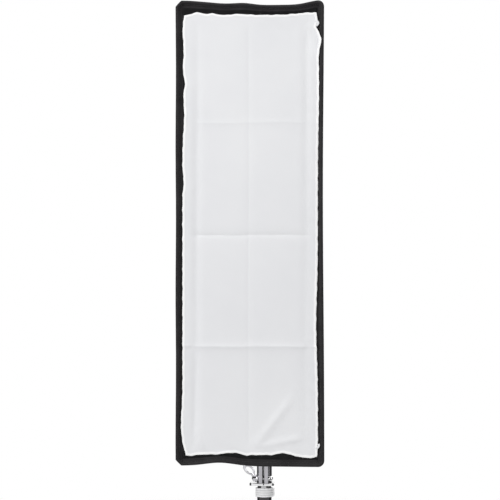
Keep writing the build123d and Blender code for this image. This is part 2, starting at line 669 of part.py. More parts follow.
def riser_clamp():
    """Split clamp round the riser, with two ears that the lever draws together."""
    body = upright(CLAMP_RADIUS, CLAMP_BOTTOM, CLAMP_TOP)
    body += slab((-11, 11), (CLAMP_BOLT_Y - 7, 0), (CLAMP_BOTTOM, CLAMP_TOP - 4))
    body = fillet(body.edges().filter_by(Axis.Z).group_by(Axis.Y)[0], 3)
    body -= upright(12.6, CLAMP_BOTTOM - 1, CLAMP_TOP + 1)
    body -= slab((-2.5, 2.5), (-40, -5), (CLAMP_BOTTOM - 1, CLAMP_TOP + 1))
    body -= across(4.05, -20, 20, CLAMP_BOLT_Y, CLAMP_BOLT_Z)
    return body


def riser_bush():
    """Split plastic liner between clamp and riser."""
    body = upright(12.6, CLAMP_BOTTOM, CLAMP_TOP + 2) + upright(14.5, CLAMP_TOP, CLAMP_TOP + 2)
    body -= upright(RISER_RADIUS + 0.05, CLAMP_BOTTOM - 1, CLAMP_TOP + 3)
    return body - slab((-1.5, 1.5), (-20, -5), (CLAMP_BOTTOM - 1, CLAMP_TOP + 3))


def clamp_nut():
    """Domed nut on the right of the ears."""
    dome = Pos(15.0, CLAMP_BOLT_Y, CLAMP_BOLT_Z) * Sphere(5.6)
    dome &= across(8, 11, 22, CLAMP_BOLT_Y, CLAMP_BOLT_Z)
    washer = across(6.4, 11, 12.6, CLAMP_BOLT_Y, CLAMP_BOLT_Z)
    pin_hole = endwise(1.8, CLAMP_BOLT_Y - 7, CLAMP_BOLT_Y + 1, 16.4, CLAMP_BOLT_Z - 1)
    return dome + washer - pin_hole - across(4.05, 5, 14, CLAMP_BOLT_Y, CLAMP_BOLT_Z)


def clamp_bolt():
    return across(4.0, -16.5, 13.5, CLAMP_BOLT_Y, CLAMP_BOLT_Z)


def clamp_handle():
    """Lever with a ball hub and an oval loop, leaning out and up."""
    centre = Vector(HUB_X, CLAMP_BOLT_Y, CLAMP_BOLT_Z)
    hub = Pos(*centre) * Rot(0, 90, 0) * Sphere(8.0) + across(6.2, HUB_X, -11.3, CLAMP_BOLT_Y, CLAMP_BOLT_Z)
    hub -= along(centre + Vector(-2.6, -10, 2.6), Vector(0, 1, 0), 2.4, 7.3)
    hub -= across(8.0, -11.3, -9.0, CLAMP_BOLT_Y, CLAMP_BOLT_Z)
    hub -= across(4.0, -16.5, -9.0, CLAMP_BOLT_Y, CLAMP_BOLT_Z)
    middle = centre + Vector(-14.3, 0, 19.3)
    run = (middle - centre).normalized()
    neck = along(centre + run * 5.5, run, 4.0, 8.5)
    flat = Plane(origin=middle + Vector(0, 3, 0), x_dir=(-0.76, 0, 0.65), z_dir=(0, -1, 0))
    loop = extrude(flat * (Ellipse(15.0, 9.4) - Pos(-1.2, 0) * Ellipse(9.4, 4.6)), 6)
    return hub + neck + fillet(loop.edges(), 1.6)


def riser_tube():
    body = upright(RISER_RADIUS, RISER_BOTTOM, RISER_TOP) - upright(RISER_BORE, RISER_BOTTOM - 1, RISER_TOP + 1)
    return body


def riser_foot():
    """Guide bush on the riser's lower end, which meets the collar when the riser is fully up."""
    top = TUBE_LENGTH + TUBE_SPIGOT - RISER_TRAVEL - 2
    return upright(TUBE_BORE - 0.1, RISER_BOTTOM, top) - upright(RISER_RADIUS, 0, 40)


def riser_stud():
    """Turned stud with a groove for the thumb screw, pressed into the riser."""
    top = RISER_TOP + STUD_LENGTH
    body = upright(STUD_RADIUS, RISER_TOP, top) + upright(RISER_BORE, RISER_TOP - 30, RISER_TOP)
    body = chamfer(body.edges().filter_by(GeomType.CIRCLE).sort_by(Axis.Z)[-1], 1)
    groove = upright(STUD_RADIUS + 1, RECEIVER_SCREW_Z - 5, RECEIVER_SCREW_Z + 5)
    return body - (groove - upright(STUD_RADIUS - 1, 400, 600))


def softbox_parts():
    parts = {f"shell_{side}": panel for side, panel in shell_panels().items()}
    parts |= {f"rim_{side}": strip for side, strip in rim_strips().items()}
    caps, sockets, pockets, socket_screws = [], [], [], []
    for name, (sx, sz) in QUADRANTS.items():
        line = rod_line(sx, sz)
        steel = rod(line)
        cap = rod_cap(line, steel)
        parts[f"rod_{name}"] = steel
        caps.append(cap)
        sockets.append(rod_socket(sx, sz, line, steel))
        pockets += corner_pocket(sx, sz, cap + steel).solids()
        socket_screws += [button_screw(x, z, RING_FRONT_Y - 4, 10) for x, z in socket_screw_places(sx, sz)]
    parts["rod_caps"] = Compound(caps)
    parts["rod_sockets"] = Compound(sockets)
    parts["socket_screws"] = Compound(socket_screws)
    parts["corner_pockets"] = Compound(pockets)
    parts["rear_flaps"] = Compound(list(rear_flaps().values()))
    for make in (hook_tape, front_diffuser, inner_baffle, baffle_straps, speedring):
        parts[make.__name__] = make()
    return parts


def hardware_parts():
    makers = (
        speedring_insert, retainer_ring, retainer_screws, mount_ring, latch_pin, latch_cap, latch_button,
        latch_spring,
        ring_lock_screw, ring_lock_knob, tilt_yoke, yoke_screws, receiver, friction_washers, pivot_bolt, pivot_nut,
        tilt_lever, receiver_screw, receiver_knob, shoe_bar, bar_screws, cold_shoe, shoe_screw, shoe_knob,
        stand_tube, lock_collar, collar_screw, neck_ring, neck_screws, base_plate, riser_clamp, riser_bush,
        clamp_nut, clamp_bolt, clamp_handle, riser_tube, riser_foot, riser_stud,
    )
    return {make.__name__: make() for make in makers}


os.makedirs("parts", exist_ok=True)
for node, shape in (softbox_parts() | hardware_parts()).items():
    export_step(shape, f"parts/{node}.step")
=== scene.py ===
import bmesh
import bpy
import numpy as np
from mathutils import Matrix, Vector


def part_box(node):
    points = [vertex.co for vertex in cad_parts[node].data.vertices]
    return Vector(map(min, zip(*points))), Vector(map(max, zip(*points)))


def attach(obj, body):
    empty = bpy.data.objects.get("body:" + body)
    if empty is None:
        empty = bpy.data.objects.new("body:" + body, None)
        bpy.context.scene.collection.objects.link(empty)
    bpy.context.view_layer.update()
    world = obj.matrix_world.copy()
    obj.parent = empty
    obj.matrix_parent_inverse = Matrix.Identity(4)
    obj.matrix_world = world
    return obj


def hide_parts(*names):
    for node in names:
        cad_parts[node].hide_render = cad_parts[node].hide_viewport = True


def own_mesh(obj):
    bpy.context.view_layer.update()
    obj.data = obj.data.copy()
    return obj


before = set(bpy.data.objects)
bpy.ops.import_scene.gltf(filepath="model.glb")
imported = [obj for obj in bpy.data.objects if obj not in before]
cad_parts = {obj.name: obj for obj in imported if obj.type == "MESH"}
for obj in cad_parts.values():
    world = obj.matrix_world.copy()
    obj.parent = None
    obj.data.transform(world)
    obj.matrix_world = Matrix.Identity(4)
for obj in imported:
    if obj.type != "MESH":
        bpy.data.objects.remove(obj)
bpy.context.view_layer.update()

# Camera: level, four metres in front of the white front and a little to its right.
# It is aimed just right of the front's middle line, at the height that the box and the clamp share.
VIEW_DISTANCE = 4.0
VIEW_HEIGHT = 0.6488
VIEW_TURN = np.radians(5.54)
VIEW_ASIDE = 0.0013
VIEW_LENS = 142.8
front_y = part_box("rim_top")[0].y
camera = bpy.data.objects.new("camera", bpy.data.cameras.new("camera"))
camera.data.sensor_width = 36.0
camera.data.lens = VIEW_LENS
camera.location = (VIEW_ASIDE + VIEW_DISTANCE * np.sin(VIEW_TURN), front_y - VIEW_DISTANCE * np.cos(VIEW_TURN),
                   VIEW_HEIGHT)
camera.rotation_euler = (np.pi / 2, 0, VIEW_TURN)
bpy.context.collection.objects.link(camera)
bpy.context.scene.camera = camera
bpy.context.scene.view_settings.view_transform = "Standard"


# Studio: a pale floor under the tube's end, soft lamps in front, above and behind, and a white room.
# What bright metal mirrors has a dark strip at each side, as between the white screens of a product table.
def node(tree, kind, settings=None, **inputs):
    """A new shader node. Settings are its own properties, and inputs are values or sockets by input name."""
    made = tree.nodes.new(kind)
    for name, value in (settings or {}).items():
        setattr(made, name, value)
    for name, value in inputs.items():
        socket = made.inputs[int(name[1:])] if name[1:].isdigit() else made.inputs[name.replace("_", " ")]
        if isinstance(value, bpy.types.NodeSocket):
            tree.links.new(value, socket)
        else:
            socket.default_value = value
    return made


def soft_lamp(name, place, aim, size, power):
    """A square area lamp at a place, facing a point."""
    lamp = bpy.data.objects.new(name, bpy.data.lights.new(name, "AREA"))
    lamp.data.size = size
    lamp.data.energy = power
    lamp.location = place
    lamp.rotation_euler = (Vector(aim) - Vector(place)).to_track_quat("-Z", "Y").to_euler()
    bpy.context.collection.objects.link(lamp)


MIDDLE = (0.0, -0.2, 0.68)
soft_lamp("lamp_left", (-2.6, -3.0, 1.9), MIDDLE, 1.8, 87)
soft_lamp("lamp_right", (2.8, -2.6, 1.5), MIDDLE, 1.8, 31)
soft_lamp("lamp_above", (0.0, -0.4, 3.4), MIDDLE, 2.0, 26)
soft_lamp("lamp_behind", (0.6, 3.2, 1.8), MIDDLE, 1.6, 30)

room = bpy.data.worlds.new("room")
room.use_nodes = True
room.node_tree.nodes.clear()
heading = node(room.node_tree, "ShaderNodeSeparateXYZ",
               _0=node(room.node_tree, "ShaderNodeTexCoord").outputs["Generated"])
level = node(room.node_tree, "ShaderNodeCombineXYZ", _0=heading.outputs[0], _1=heading.outputs[1])
ahead = node(room.node_tree, "ShaderNodeMath", {"operation": "DIVIDE"}, _0=heading.outputs[1],
             _1=node(room.node_tree, "ShaderNodeVectorMath", {"operation": "LENGTH"},
                     _0=level.outputs[0]).outputs["Value"]).outputs[0]
front_screen = node(room.node_tree, "ShaderNodeMapRange", _0=ahead, From_Min=-0.25, From_Max=0.0, To_Min=0.95,
                    To_Max=0.06).outputs[0]
back_screen = node(room.node_tree, "ShaderNodeMapRange", _0=ahead, From_Min=0.86, From_Max=0.94, To_Min=0.06,
                   To_Max=1.0).outputs[0]
steep = node(room.node_tree, "ShaderNodeMath", {"operation": "ABSOLUTE"}, _0=heading.outputs[2]).outputs[0]
table_top = node(room.node_tree, "ShaderNodeMapRange", _0=steep, From_Min=0.55, From_Max=0.8, To_Min=0.06,
                 To_Max=0.9).outputs[0]
screens = node(room.node_tree, "ShaderNodeMath", {"operation": "MAXIMUM"}, _0=front_screen, _1=back_screen)
mirrored = node(room.node_tree, "ShaderNodeMath", {"operation": "MAXIMUM"}, _0=screens.outputs[0], _1=table_top)
rays = node(room.node_tree, "ShaderNodeLightPath").outputs
lit = node(room.node_tree, "ShaderNodeMix", {"data_type": "FLOAT"}, _0=rays["Is Glossy Ray"], _2=0.45,
           _3=mirrored.outputs[0])
seen = node(room.node_tree, "ShaderNodeMix", {"data_type": "FLOAT"}, _0=rays["Is Camera Ray"],
            _2=lit.outputs[0], _3=1.0)
sky = node(room.node_tree, "ShaderNodeBackground", Color=(1.0, 1.0, 1.0, 1.0), Strength=seen.outputs[0])
node(room.node_tree, "ShaderNodeOutputWorld", Surface=sky.outputs[0])
bpy.context.scene.world = room

FLOOR_RADIUS = 2.0
rings, spokes = 24, 64
ring_radius = FLOOR_RADIUS * (np.arange(1, rings + 1) / rings) ** 1.5
spoke_angle = np.linspace(0, 2 * np.pi, spokes, endpoint=False)
disc = np.stack([np.outer(ring_radius, np.cos(spoke_angle)), np.outer(ring_radius, np.sin(spoke_angle)),
                 np.full((rings, spokes), -0.0005)], -1)


def quads(rows, columns, around=False):
    """Corner numbers of each cell of a grid of points, by rows; around joins the last column to the first."""
    row = np.arange(rows - 1)[:, None] * columns
    column = np.arange(columns if around else columns - 1)[None, :]
    after = (column + 1) % columns
    corners = [row + column, row + after, row + columns + after, row + columns + column]
    return np.stack(corners, -1).reshape(-1, 4)


def new_object(name, points, faces):
    """A mesh object of points [n, 3] and quads [m, 4], smooth all over, at the origin."""
    mesh = bpy.data.meshes.new(name)
    mesh.from_pydata(points.reshape(-1, 3), [], faces)
    mesh.polygons.foreach_set("use_smooth", np.ones(len(mesh.polygons), bool))
    mesh.update()
    made = bpy.data.objects.new(name, mesh)
    bpy.context.collection.objects.link(made)
    return made


def blank_material(name):
    """An empty node material with its tree."""
    material = bpy.data.materials.new(name)
    material.use_nodes = True
    material.node_tree.nodes.clear()
    return material, material.node_tree


disc_faces = quads(rings, spokes, around=True)
middle_fan = np.stack([np.arange(0, spokes, 2), np.arange(1, spokes, 2), (np.arange(2, spokes + 2, 2)) % spokes,
                       np.full(spokes // 2, rings * spokes)], -1)
floor = new_object("studio_floor", np.vstack([disc.reshape(-1, 3), [[0, 0, -0.0005]]]),
                   np.vstack([disc_faces, middle_fan]))
floor_material, tree = blank_material("pale_floor")
reach = node(tree, "ShaderNodeVectorMath", {"operation": "LENGTH"},
             _0=node(tree, "ShaderNodeTexCoord").outputs["Object"]).outputs["Value"]
fade = node(tree, "ShaderNodeMapRange", {"interpolation_type": "SMOOTHSTEP"}, _0=reach,
            From_Min=0.15, From_Max=0.95, To_Min=0.0, To_Max=1.0)
paint = node(tree, "ShaderNodeBsdfDiffuse", Color=(0.82, 0.82, 0.82, 1.0))
clear = node(tree, "ShaderNodeBsdfTransparent")
blended = node(tree, "ShaderNodeMixShader", _0=fade.outputs["Result"], _1=paint.outputs[0], _2=clear.outputs[0])
node(tree, "ShaderNodeOutputMaterial", Surface=blended.outputs[0])
floor.data.materials.append(floor_material)


# Stand tube: 1 1/4 inch steel, gloss black paint, with hairline scratches from sliding in its stand.
# The finishes below share four effects, each made once: grain, wear on edges, uneven soiling, and painted shade
# in hollows.
def effect(name, inputs, outputs):
    """A shader node group with named inputs (name: value) and outputs; a value of three numbers is a vector."""
    tree = bpy.data.node_groups.new(name, "ShaderNodeTree")
    for key, value in inputs.items():
        vector = isinstance(value, tuple)
        socket = tree.interface.new_socket(key, in_out="INPUT",
                                           socket_type="NodeSocketVector" if vector else "NodeSocketFloat")
        socket.default_value = value
    for key, kind in outputs.items():
        tree.interface.new_socket(key, in_out="OUTPUT", socket_type=kind)
    return tree, tree.nodes.new("NodeGroupInput").outputs, tree.nodes.new("NodeGroupOutput").inputs


def use(tree, group, **inputs):
    """One node that runs an effect in a material."""
    made = node(tree, "ShaderNodeGroup", {"node_tree": group}, **inputs)
    return made.outputs


FLOAT, VECTOR = "NodeSocketFloat", "NodeSocketVector"

# Grain: noise of a given scale, as a mask from 0 to 1 and as a bumped normal of a given depth in metres.
grain, given, result = effect("grain", {"Scale": 900.0, "Depth": 0.00005, "Stretch": (1.0, 1.0, 1.0)},
                              {"Mask": FLOAT, "Normal": VECTOR})
stretched = node(grain, "ShaderNodeVectorMath", {"operation": "MULTIPLY"},
                 _0=node(grain, "ShaderNodeTexCoord").outputs["Object"], _1=given["Stretch"])
speckle = node(grain, "ShaderNodeTexNoise", Vector=stretched.outputs[0], Scale=given["Scale"], Detail=5.0)
pimple = node(grain, "ShaderNodeBump", Strength=1.0, Distance=given["Depth"], Height=speckle.outputs[0])
grain.links.new(speckle.outputs[0], result["Mask"])
grain.links.new(pimple.outputs[0], result["Normal"])

# Edge wear: how far the surface turns within a radius, broken up by noise, from 0 on flats to 1 on sharp edges.
edge_wear, given, result = effect("edge_wear", {"Radius": 0.0012, "Amount": 0.6}, {"Mask": FLOAT})
rounded = node(edge_wear, "ShaderNodeBevel", {"samples": 4}, Radius=given["Radius"])
agree = node(edge_wear, "ShaderNodeVectorMath", {"operation": "DOT_PRODUCT"}, _0=rounded.outputs[0],
             _1=node(edge_wear, "ShaderNodeNewGeometry").outputs["Normal"])
turn = node(edge_wear, "ShaderNodeMapRange", _0=agree.outputs["Value"], From_Min=0.995, From_Max=0.75)
chips = node(edge_wear, "ShaderNodeTexNoise", Vector=node(edge_wear, "ShaderNodeTexCoord").outputs["Object"],
             Scale=420.0, Detail=4.0)
broken = node(edge_wear, "ShaderNodeMapRange", _0=chips.outputs[0], From_Min=0.35, From_Max=0.65)
worn = node(edge_wear, "ShaderNodeMath", {"operation": "MULTIPLY"}, _0=turn.outputs[0], _1=broken.outputs[0])
scaled = node(edge_wear, "ShaderNodeMath", {"operation": "MULTIPLY"}, _0=worn.outputs[0], _1=given["Amount"])
edge_wear.links.new(scaled.outputs[0], result["Mask"])

# Soiling: broad clouds from 0 to 1, for finger marks, dust and uneven dye.
soiling, given, result = effect("soiling", {"Scale": 18.0}, {"Mask": FLOAT})
cloud = node(soiling, "ShaderNodeTexNoise", Vector=node(soiling, "ShaderNodeTexCoord").outputs["Object"],
             Scale=given["Scale"], Detail=3.0, Roughness=0.6)
spread = node(soiling, "ShaderNodeMapRange", _0=cloud.outputs[0], From_Min=0.3, From_Max=0.7)
soiling.links.new(spread.outputs[0], result["Mask"])

# Painted shade in hollows: how shut in a place is, from 0 in the open to 1 down a hole or a slot, as a mask for
# painting the shade that falls there.
painted_hollow_shade, given, result = effect("painted_hollow_shade", {"Reach": 0.006}, {"Mask": FLOAT})
shut = node(painted_hollow_shade, "ShaderNodeAmbientOcclusion", {"samples": 6}, Distance=given["Reach"])
deep = node(painted_hollow_shade, "ShaderNodeMapRange", _0=shut.outputs["AO"], From_Min=0.8, From_Max=0.42)
painted_hollow_shade.links.new(deep.outputs[0], result["Mask"])


def between(tree, share, low, high):
    """A colour that goes from low to high as share goes from 0 to 1."""
    mixed = node(tree, "ShaderNodeMix", {"data_type": "RGBA"}, _0=share, _6=(*low, 1.0), _7=(*high, 1.0))
    return mixed.outputs[2]


def span(tree, share, low, high):
    """A number that goes from low to high as share goes from 0 to 1."""
    return node(tree, "ShaderNodeMapRange", _0=share, To_Min=low, To_Max=high).outputs[0]


def finished(tree, **sockets):
    """The Principled shader of a material and its output."""
    shader = node(tree, "ShaderNodeBsdfPrincipled", **sockets)
    node(tree, "ShaderNodeOutputMaterial", Surface=shader.outputs[0])
    return shader


def hard_finish(name, colour, worn_colour, roughness, metallic=0.0, grain_scale=900.0, depth=0.00003,
                wear=0.5, stretch=(1.0, 1.0, 1.0), dulling=0.82, painted_shade=0.5, **sockets):
    """Paint, plate or moulded plastic: clouds in colour and gloss, a fine grain, edges worn to a second colour.

    Painted shade is how dark the piece is painted down its holes and slots, where shade falls.
    """
    material, tree = blank_material(name)
    clouds = use(tree, soiling, Scale=22.0)["Mask"]
    specks = use(tree, grain, Scale=grain_scale, Depth=depth, Stretch=stretch)
    edges = use(tree, edge_wear, Amount=wear)["Mask"]
    dull = tuple(c * dulling for c in colour)
    body = between(tree, clouds, dull, colour)
    mixed = node(tree, "ShaderNodeMix", {"data_type": "RGBA"}, _0=edges, _6=body, _7=(*worn_colour, 1.0))
    # Painted shade: holes, slots and gaps are painted towards near black, more so the more shut in they are.
    shade_paint_share = span(tree, use(tree, painted_hollow_shade)["Mask"], 0.0, painted_shade)
    shade_painted_colour = node(tree, "ShaderNodeMix", {"data_type": "RGBA"}, _0=shade_paint_share, _6=mixed.outputs[2],
                 _7=(0.015, 0.014, 0.014, 1.0))
    gloss = span(tree, clouds, roughness * 1.15, roughness * 0.85)
    rough = node(tree, "ShaderNodeMath", {"operation": "ADD"}, _0=gloss,
                 _1=span(tree, specks["Mask"], -0.04, 0.04))
    finished(tree, Base_Color=shade_painted_colour.outputs[2], Roughness=rough.outputs[0], Metallic=metallic,
             Normal=specks["Normal"], **sockets)
    return material


def dress(material, *nodes):
    """Gives CAD nodes their material."""
    for name in nodes:
        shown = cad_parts[name]
        shown.data.materials.clear()
        shown.data.materials.append(material)


dress(hard_finish("gloss_black_paint", (0.012, 0.012, 0.013), (0.16, 0.155, 0.15), 0.16, grain_scale=260.0,
                  depth=0.00002, wear=0.5, stretch=(1.0, 1.0, 0.08), Coat_Weight=0.6, Coat_Roughness=0.08),
      "stand_tube")

# Collar and its neck: light grey satin casting on top of the tube, with dark screws sunk in the neck.
dress(hard_finish("grey_satin_paint", (0.86, 0.86, 0.87), (0.62, 0.62, 0.62), 0.38, grain_scale=700.0,
                  depth=0.00004, wear=0.4, dulling=0.95, painted_shade=0.35), "lock_collar")
dress(hard_finish("black_oxide", (0.02, 0.02, 0.022), (0.12, 0.11, 0.1), 0.42, metallic=0.8, wear=0.4),
      "neck_screws", "collar_screw")

# Flange, split clamp, lever and nut: zinc castings under bright chrome, slightly rippled, with shade painted
# near black in their hollows.
# The clamp is the rougher casting and the lever is a little worn, so they mirror less.
chrome_colour, chrome_worn = (0.86, 0.86, 0.87), (0.6, 0.58, 0.55)
dress(hard_finish("chromed_casting", chrome_colour, chrome_worn, 0.11, metallic=1.0, grain_scale=160.0,
                  depth=0.00003, wear=0.3, dulling=0.93, painted_shade=0.96), "base_plate", "clamp_nut", "neck_ring")
dress(hard_finish("rough_chromed_casting", (0.52, 0.51, 0.54), (0.36, 0.35, 0.35), 0.19, metallic=1.0,
                  grain_scale=230.0, depth=0.00007, wear=0.5, dulling=0.75, painted_shade=0.97), "riser_clamp")
dress(hard_finish("worn_chromed_casting", (0.72, 0.71, 0.74), (0.42, 0.41, 0.41), 0.13, metallic=1.0,
                  grain_scale=160.0, depth=0.00004, wear=0.6, dulling=0.8, painted_shade=0.97), "clamp_handle")
dress(hard_finish("chromed_steel", (0.7, 0.7, 0.72), chrome_worn, 0.09, metallic=1.0, grain_scale=420.0,
                  depth=0.00001, wear=0.25, stretch=(1.0, 1.0, 0.05), dulling=0.93, painted_shade=0.9),
      "riser_tube", "clamp_bolt")

# Riser's liner, foot and stud: dark nylon bushes, and a turned steel stud.
dress(hard_finish("bush_nylon", (0.05, 0.05, 0.052), (0.12, 0.12, 0.12), 0.45, grain_scale=1100.0, wear=0.3),
      "riser_bush", "riser_foot")
dress(hard_finish("zinc_plate", (0.62, 0.61, 0.57), (0.42, 0.4, 0.37), 0.3, metallic=1.0, grain_scale=1300.0,
                  depth=0.00002, wear=0.4),
      "riser_stud", "pivot_bolt", "pivot_nut", "yoke_screws", "socket_screws", "retainer_screws", "bar_screws",
      "shoe_screw", "receiver_screw", "ring_lock_screw", "latch_pin", "latch_cap")

# Receiver, yoke and bayonet ring: aluminium castings in coarse black powder coat, bright where it has worn.
dress(hard_finish("black_powder_coat", (0.022, 0.022, 0.024), (0.42, 0.42, 0.42), 0.5, grain_scale=1500.0,
                  depth=0.00012, wear=0.45), "receiver", "tilt_yoke", "mount_ring")

# Knobs, levers, caps and washers: black glass-filled plastic with a fine spark-eroded texture.
dress(hard_finish("moulded_black", (0.018, 0.018, 0.019), (0.07, 0.07, 0.07), 0.46, grain_scale=2200.0,
                  depth=0.00008, wear=0.5), "receiver_knob", "ring_lock_knob", "shoe_knob", "tilt_lever",
      "latch_button", "friction_washers", "rod_caps")

# Speedring, insert, retainer, sockets and shoe: machined aluminium, with tool marks round the light axis.
AXIS = (0.0, 0.0, (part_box("speedring")[0].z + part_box("speedring")[1].z) / 2)
machined, tree = blank_material("machined_aluminium")
from_axis = node(tree, "ShaderNodeVectorMath", {"operation": "SUBTRACT"},
                 _0=node(tree, "ShaderNodeTexCoord").outputs["Object"], _1=AXIS)
flat_part = node(tree, "ShaderNodeVectorMath", {"operation": "MULTIPLY"}, _0=from_axis.outputs[0],
                 _1=(1.0, 0.0, 1.0))
radius = node(tree, "ShaderNodeVectorMath", {"operation": "LENGTH"}, _0=flat_part.outputs[0])
marks = node(tree, "ShaderNodeTexNoise", {"noise_dimensions": "1D"}, W=radius.outputs["Value"], Scale=3500.0,
             Detail=2.0)
groove = node(tree, "ShaderNodeBump", Strength=1.0, Distance=0.000015, Height=marks.outputs[0])
smudge = use(tree, soiling, Scale=26.0)["Mask"]
rubbed = use(tree, edge_wear, Amount=0.5)["Mask"]
metal = node(tree, "ShaderNodeMix", {"data_type": "RGBA"}, _0=rubbed,
             _6=between(tree, smudge, (0.60, 0.61, 0.62), (0.72, 0.73, 0.74)), _7=(0.85, 0.85, 0.85, 1.0))
finished(tree, Base_Color=metal.outputs[2], Metallic=1.0,
         Roughness=span(tree, smudge, 0.36, 0.26), Normal=groove.outputs[0], Anisotropic=0.4)
dress(machined, "speedring", "speedring_insert", "retainer_ring", "rod_sockets", "cold_shoe", "shoe_bar")

# Rods and the latch's spring: oiled spring steel wire, drawn, so its lines run along it.
dress(hard_finish("spring_steel", (0.42, 0.41, 0.40), (0.6, 0.6, 0.6), 0.28, metallic=1.0, grain_scale=600.0,
                  depth=0.00002, wear=0.2), "rod_top_left", "rod_top_right", "rod_bottom_left",
      "rod_bottom_right", "latch_spring")

# Shell: four panels of black ripstop nylon with a silver coated lining, pulled in between the rods.
# A panel runs from the front rim (f = 0) to the speedring (f = 1), and a is -1 to 1 across it.
shell_low, shell_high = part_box("shell_left")[0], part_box("shell_left")[1]
flap_low, flap_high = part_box("rear_flaps")
shell_front, shell_back = shell_low.y, shell_high.y
front_half = np.array([-shell_low.x, (shell_high.z - shell_low.z) / 2])
back_half = np.array([flap_high.x, (flap_high.z - flap_low.z) / 2])
PULL_IN = 0.009
CLOTH = 0.0005

# Weave: threads over and under at a pitch, from the cloth's cut coordinates in metres.
weave, given, result = effect("weave", {"Pitch": 0.0005, "Depth": 0.00005}, {"Height": FLOAT, "Normal": VECTOR})
cut = node(weave, "ShaderNodeAttribute", {"attribute_name": "cut"}).outputs["Vector"]
turns = node(weave, "ShaderNodeMath", {"operation": "DIVIDE"}, _0=np.pi, _1=given["Pitch"])
phase = node(weave, "ShaderNodeVectorMath", {"operation": "SCALE"}, _0=cut, Scale=turns.outputs[0])
warp_weft = node(weave, "ShaderNodeSeparateXYZ", _0=phase.outputs[0])
warp = node(weave, "ShaderNodeMath", {"operation": "SINE"}, _0=warp_weft.outputs[0])
weft = node(weave, "ShaderNodeMath", {"operation": "SINE"}, _0=warp_weft.outputs[1])
over = node(weave, "ShaderNodeMath", {"operation": "MULTIPLY_ADD"}, _0=warp.outputs[0], _1=weft.outputs[0],
            _2=0.5)
thread = node(weave, "ShaderNodeBump", Strength=0.8, Distance=given["Depth"], Height=over.outputs[0])
weave.links.new(over.outputs[0], result["Height"])
weave.links.new(thread.outputs[0], result["Normal"])

RIPSTOP = 0.005
black_ripstop, tree = blank_material("black_ripstop")
threads = use(tree, weave, Pitch=0.0004, Depth=0.00004)
cut = node(tree, "ShaderNodeAttribute", {"attribute_name": "cut"}).outputs["Vector"]
cells = node(tree, "ShaderNodeVectorMath", {"operation": "SCALE"}, _0=cut, Scale=1.0 / RIPSTOP)
wrapped = node(tree, "ShaderNodeVectorMath", {"operation": "FRACTION"}, _0=cells.outputs[0])
centred = node(tree, "ShaderNodeVectorMath", {"operation": "SUBTRACT"}, _0=wrapped.outputs[0],
               _1=(0.5, 0.5, 0.5))
off_centre = node(tree, "ShaderNodeVectorMath", {"operation": "ABSOLUTE"}, _0=centred.outputs[0])
line_at = node(tree, "ShaderNodeSeparateXYZ", _0=off_centre.outputs[0])
nearest = node(tree, "ShaderNodeMath", {"operation": "MAXIMUM"}, _0=line_at.outputs[0], _1=line_at.outputs[1])
rib = node(tree, "ShaderNodeMapRange", _0=nearest.outputs[0], From_Min=0.42, From_Max=0.48)
ribbed = node(tree, "ShaderNodeBump", Strength=0.7, Distance=0.00015, Height=rib.outputs[0],
              Normal=threads["Normal"])
dust = use(tree, soiling, Scale=9.0)["Mask"]
dye = node(tree, "ShaderNodeMix", {"data_type": "RGBA"}, _0=rib.outputs[0],
           _6=between(tree, dust, (0.013, 0.013, 0.014), (0.02, 0.02, 0.021)), _7=(0.032, 0.032, 0.034, 1.0))
finished(tree, Base_Color=dye.outputs[2], Roughness=span(tree, dust, 0.52, 0.44), Normal=ribbed.outputs[0],
         Sheen_Weight=0.25, Sheen_Roughness=0.4)

silver_lining, tree = blank_material("silver_lining")
crinkle = use(tree, grain, Scale=420.0, Depth=0.0006)
clouds = use(tree, soiling, Scale=14.0)["Mask"]
finished(tree, Base_Color=between(tree, clouds, (0.55, 0.56, 0.57), (0.7, 0.71, 0.72)), Metallic=0.85,
         Roughness=span(tree, clouds, 0.42, 0.32), Normal=crinkle["Normal"])


def grid_piece(name, points, cut, materials, around=False, thickness=None):
    """A grid of points with its cut coordinates in metres; a thickness thickens it behind its face."""
    rows, columns = points.shape[:2]
    made = new_object(name, points, quads(rows, columns, around))
    held = made.data.attributes.new("cut", "FLOAT_VECTOR", "POINT")
    held.data.foreach_set("vector", np.concatenate([cut, np.zeros((rows, columns, 1))], -1).ravel())
    for material in materials:
        made.data.materials.append(material)
    if thickness:
        thick = made.modifiers.new("thickness", "SOLIDIFY")
        thick.thickness = thickness
        thick.offset = -1.0
        thick.material_offset = len(materials) - 1
    return made


def placed(along, across, y, side):
    """Points given along a side and outwards from the light axis, turned to the top, right, bottom or left."""
    turned = {"top": (along, across), "right": (across, -along),
              "bottom": (-along, -across), "left": (-across, along)}
    x, z = turned[side]
    return np.stack([x, np.broadcast_to(y, x.shape), z + AXIS[2]], -1)


# The front's outline is a rectangle whose left corners are cut off and whose right ones are round.
# It sags between the rods, where nothing holds it out.
CORNER = 0.012
FLATTENED = {"top_left": 0.85, "top_right": 0.1, "bottom_right": 0.1, "bottom_left": 0.85}
ENDS = {"top": ("top_left", "top_right"), "right": ("top_right", "bottom_right"),
        "bottom": ("bottom_right", "bottom_left"), "left": ("bottom_left", "top_left")}


def bump(x, middle, width, power=2):
    """A smooth hill: e to the power of minus |(x - middle) / width| to a power."""
    return np.exp(-np.abs((x - middle) / width) ** power)


def sagged(x, z):
    """Pulls a place on the front in where nothing holds the rim out; z is from the light axis."""
    up = np.clip(z / front_half[1], -1, 1)
    top = 0.0049 * bump(x, -0.044, 0.042) + 0.0089 * bump(x, 0.060, 0.062, 4) - 0.0020 * bump(x, -0.136, 0.03)
    top = top * np.maximum(up, 0) ** 6
    bottom = 0.0066 * bump(x, -0.060, 0.042) * np.maximum(-up, 0) ** 6
    side = np.where(x > 0, 0.0030 * bump(z, 0.08, 0.30) - 0.0012, -0.0003 + 0.0004 * np.sin(21 * z + 1))
    side = side * np.sign(x) * np.minimum(1, np.abs(x) / front_half[0])
    return x - side, z - top + bottom


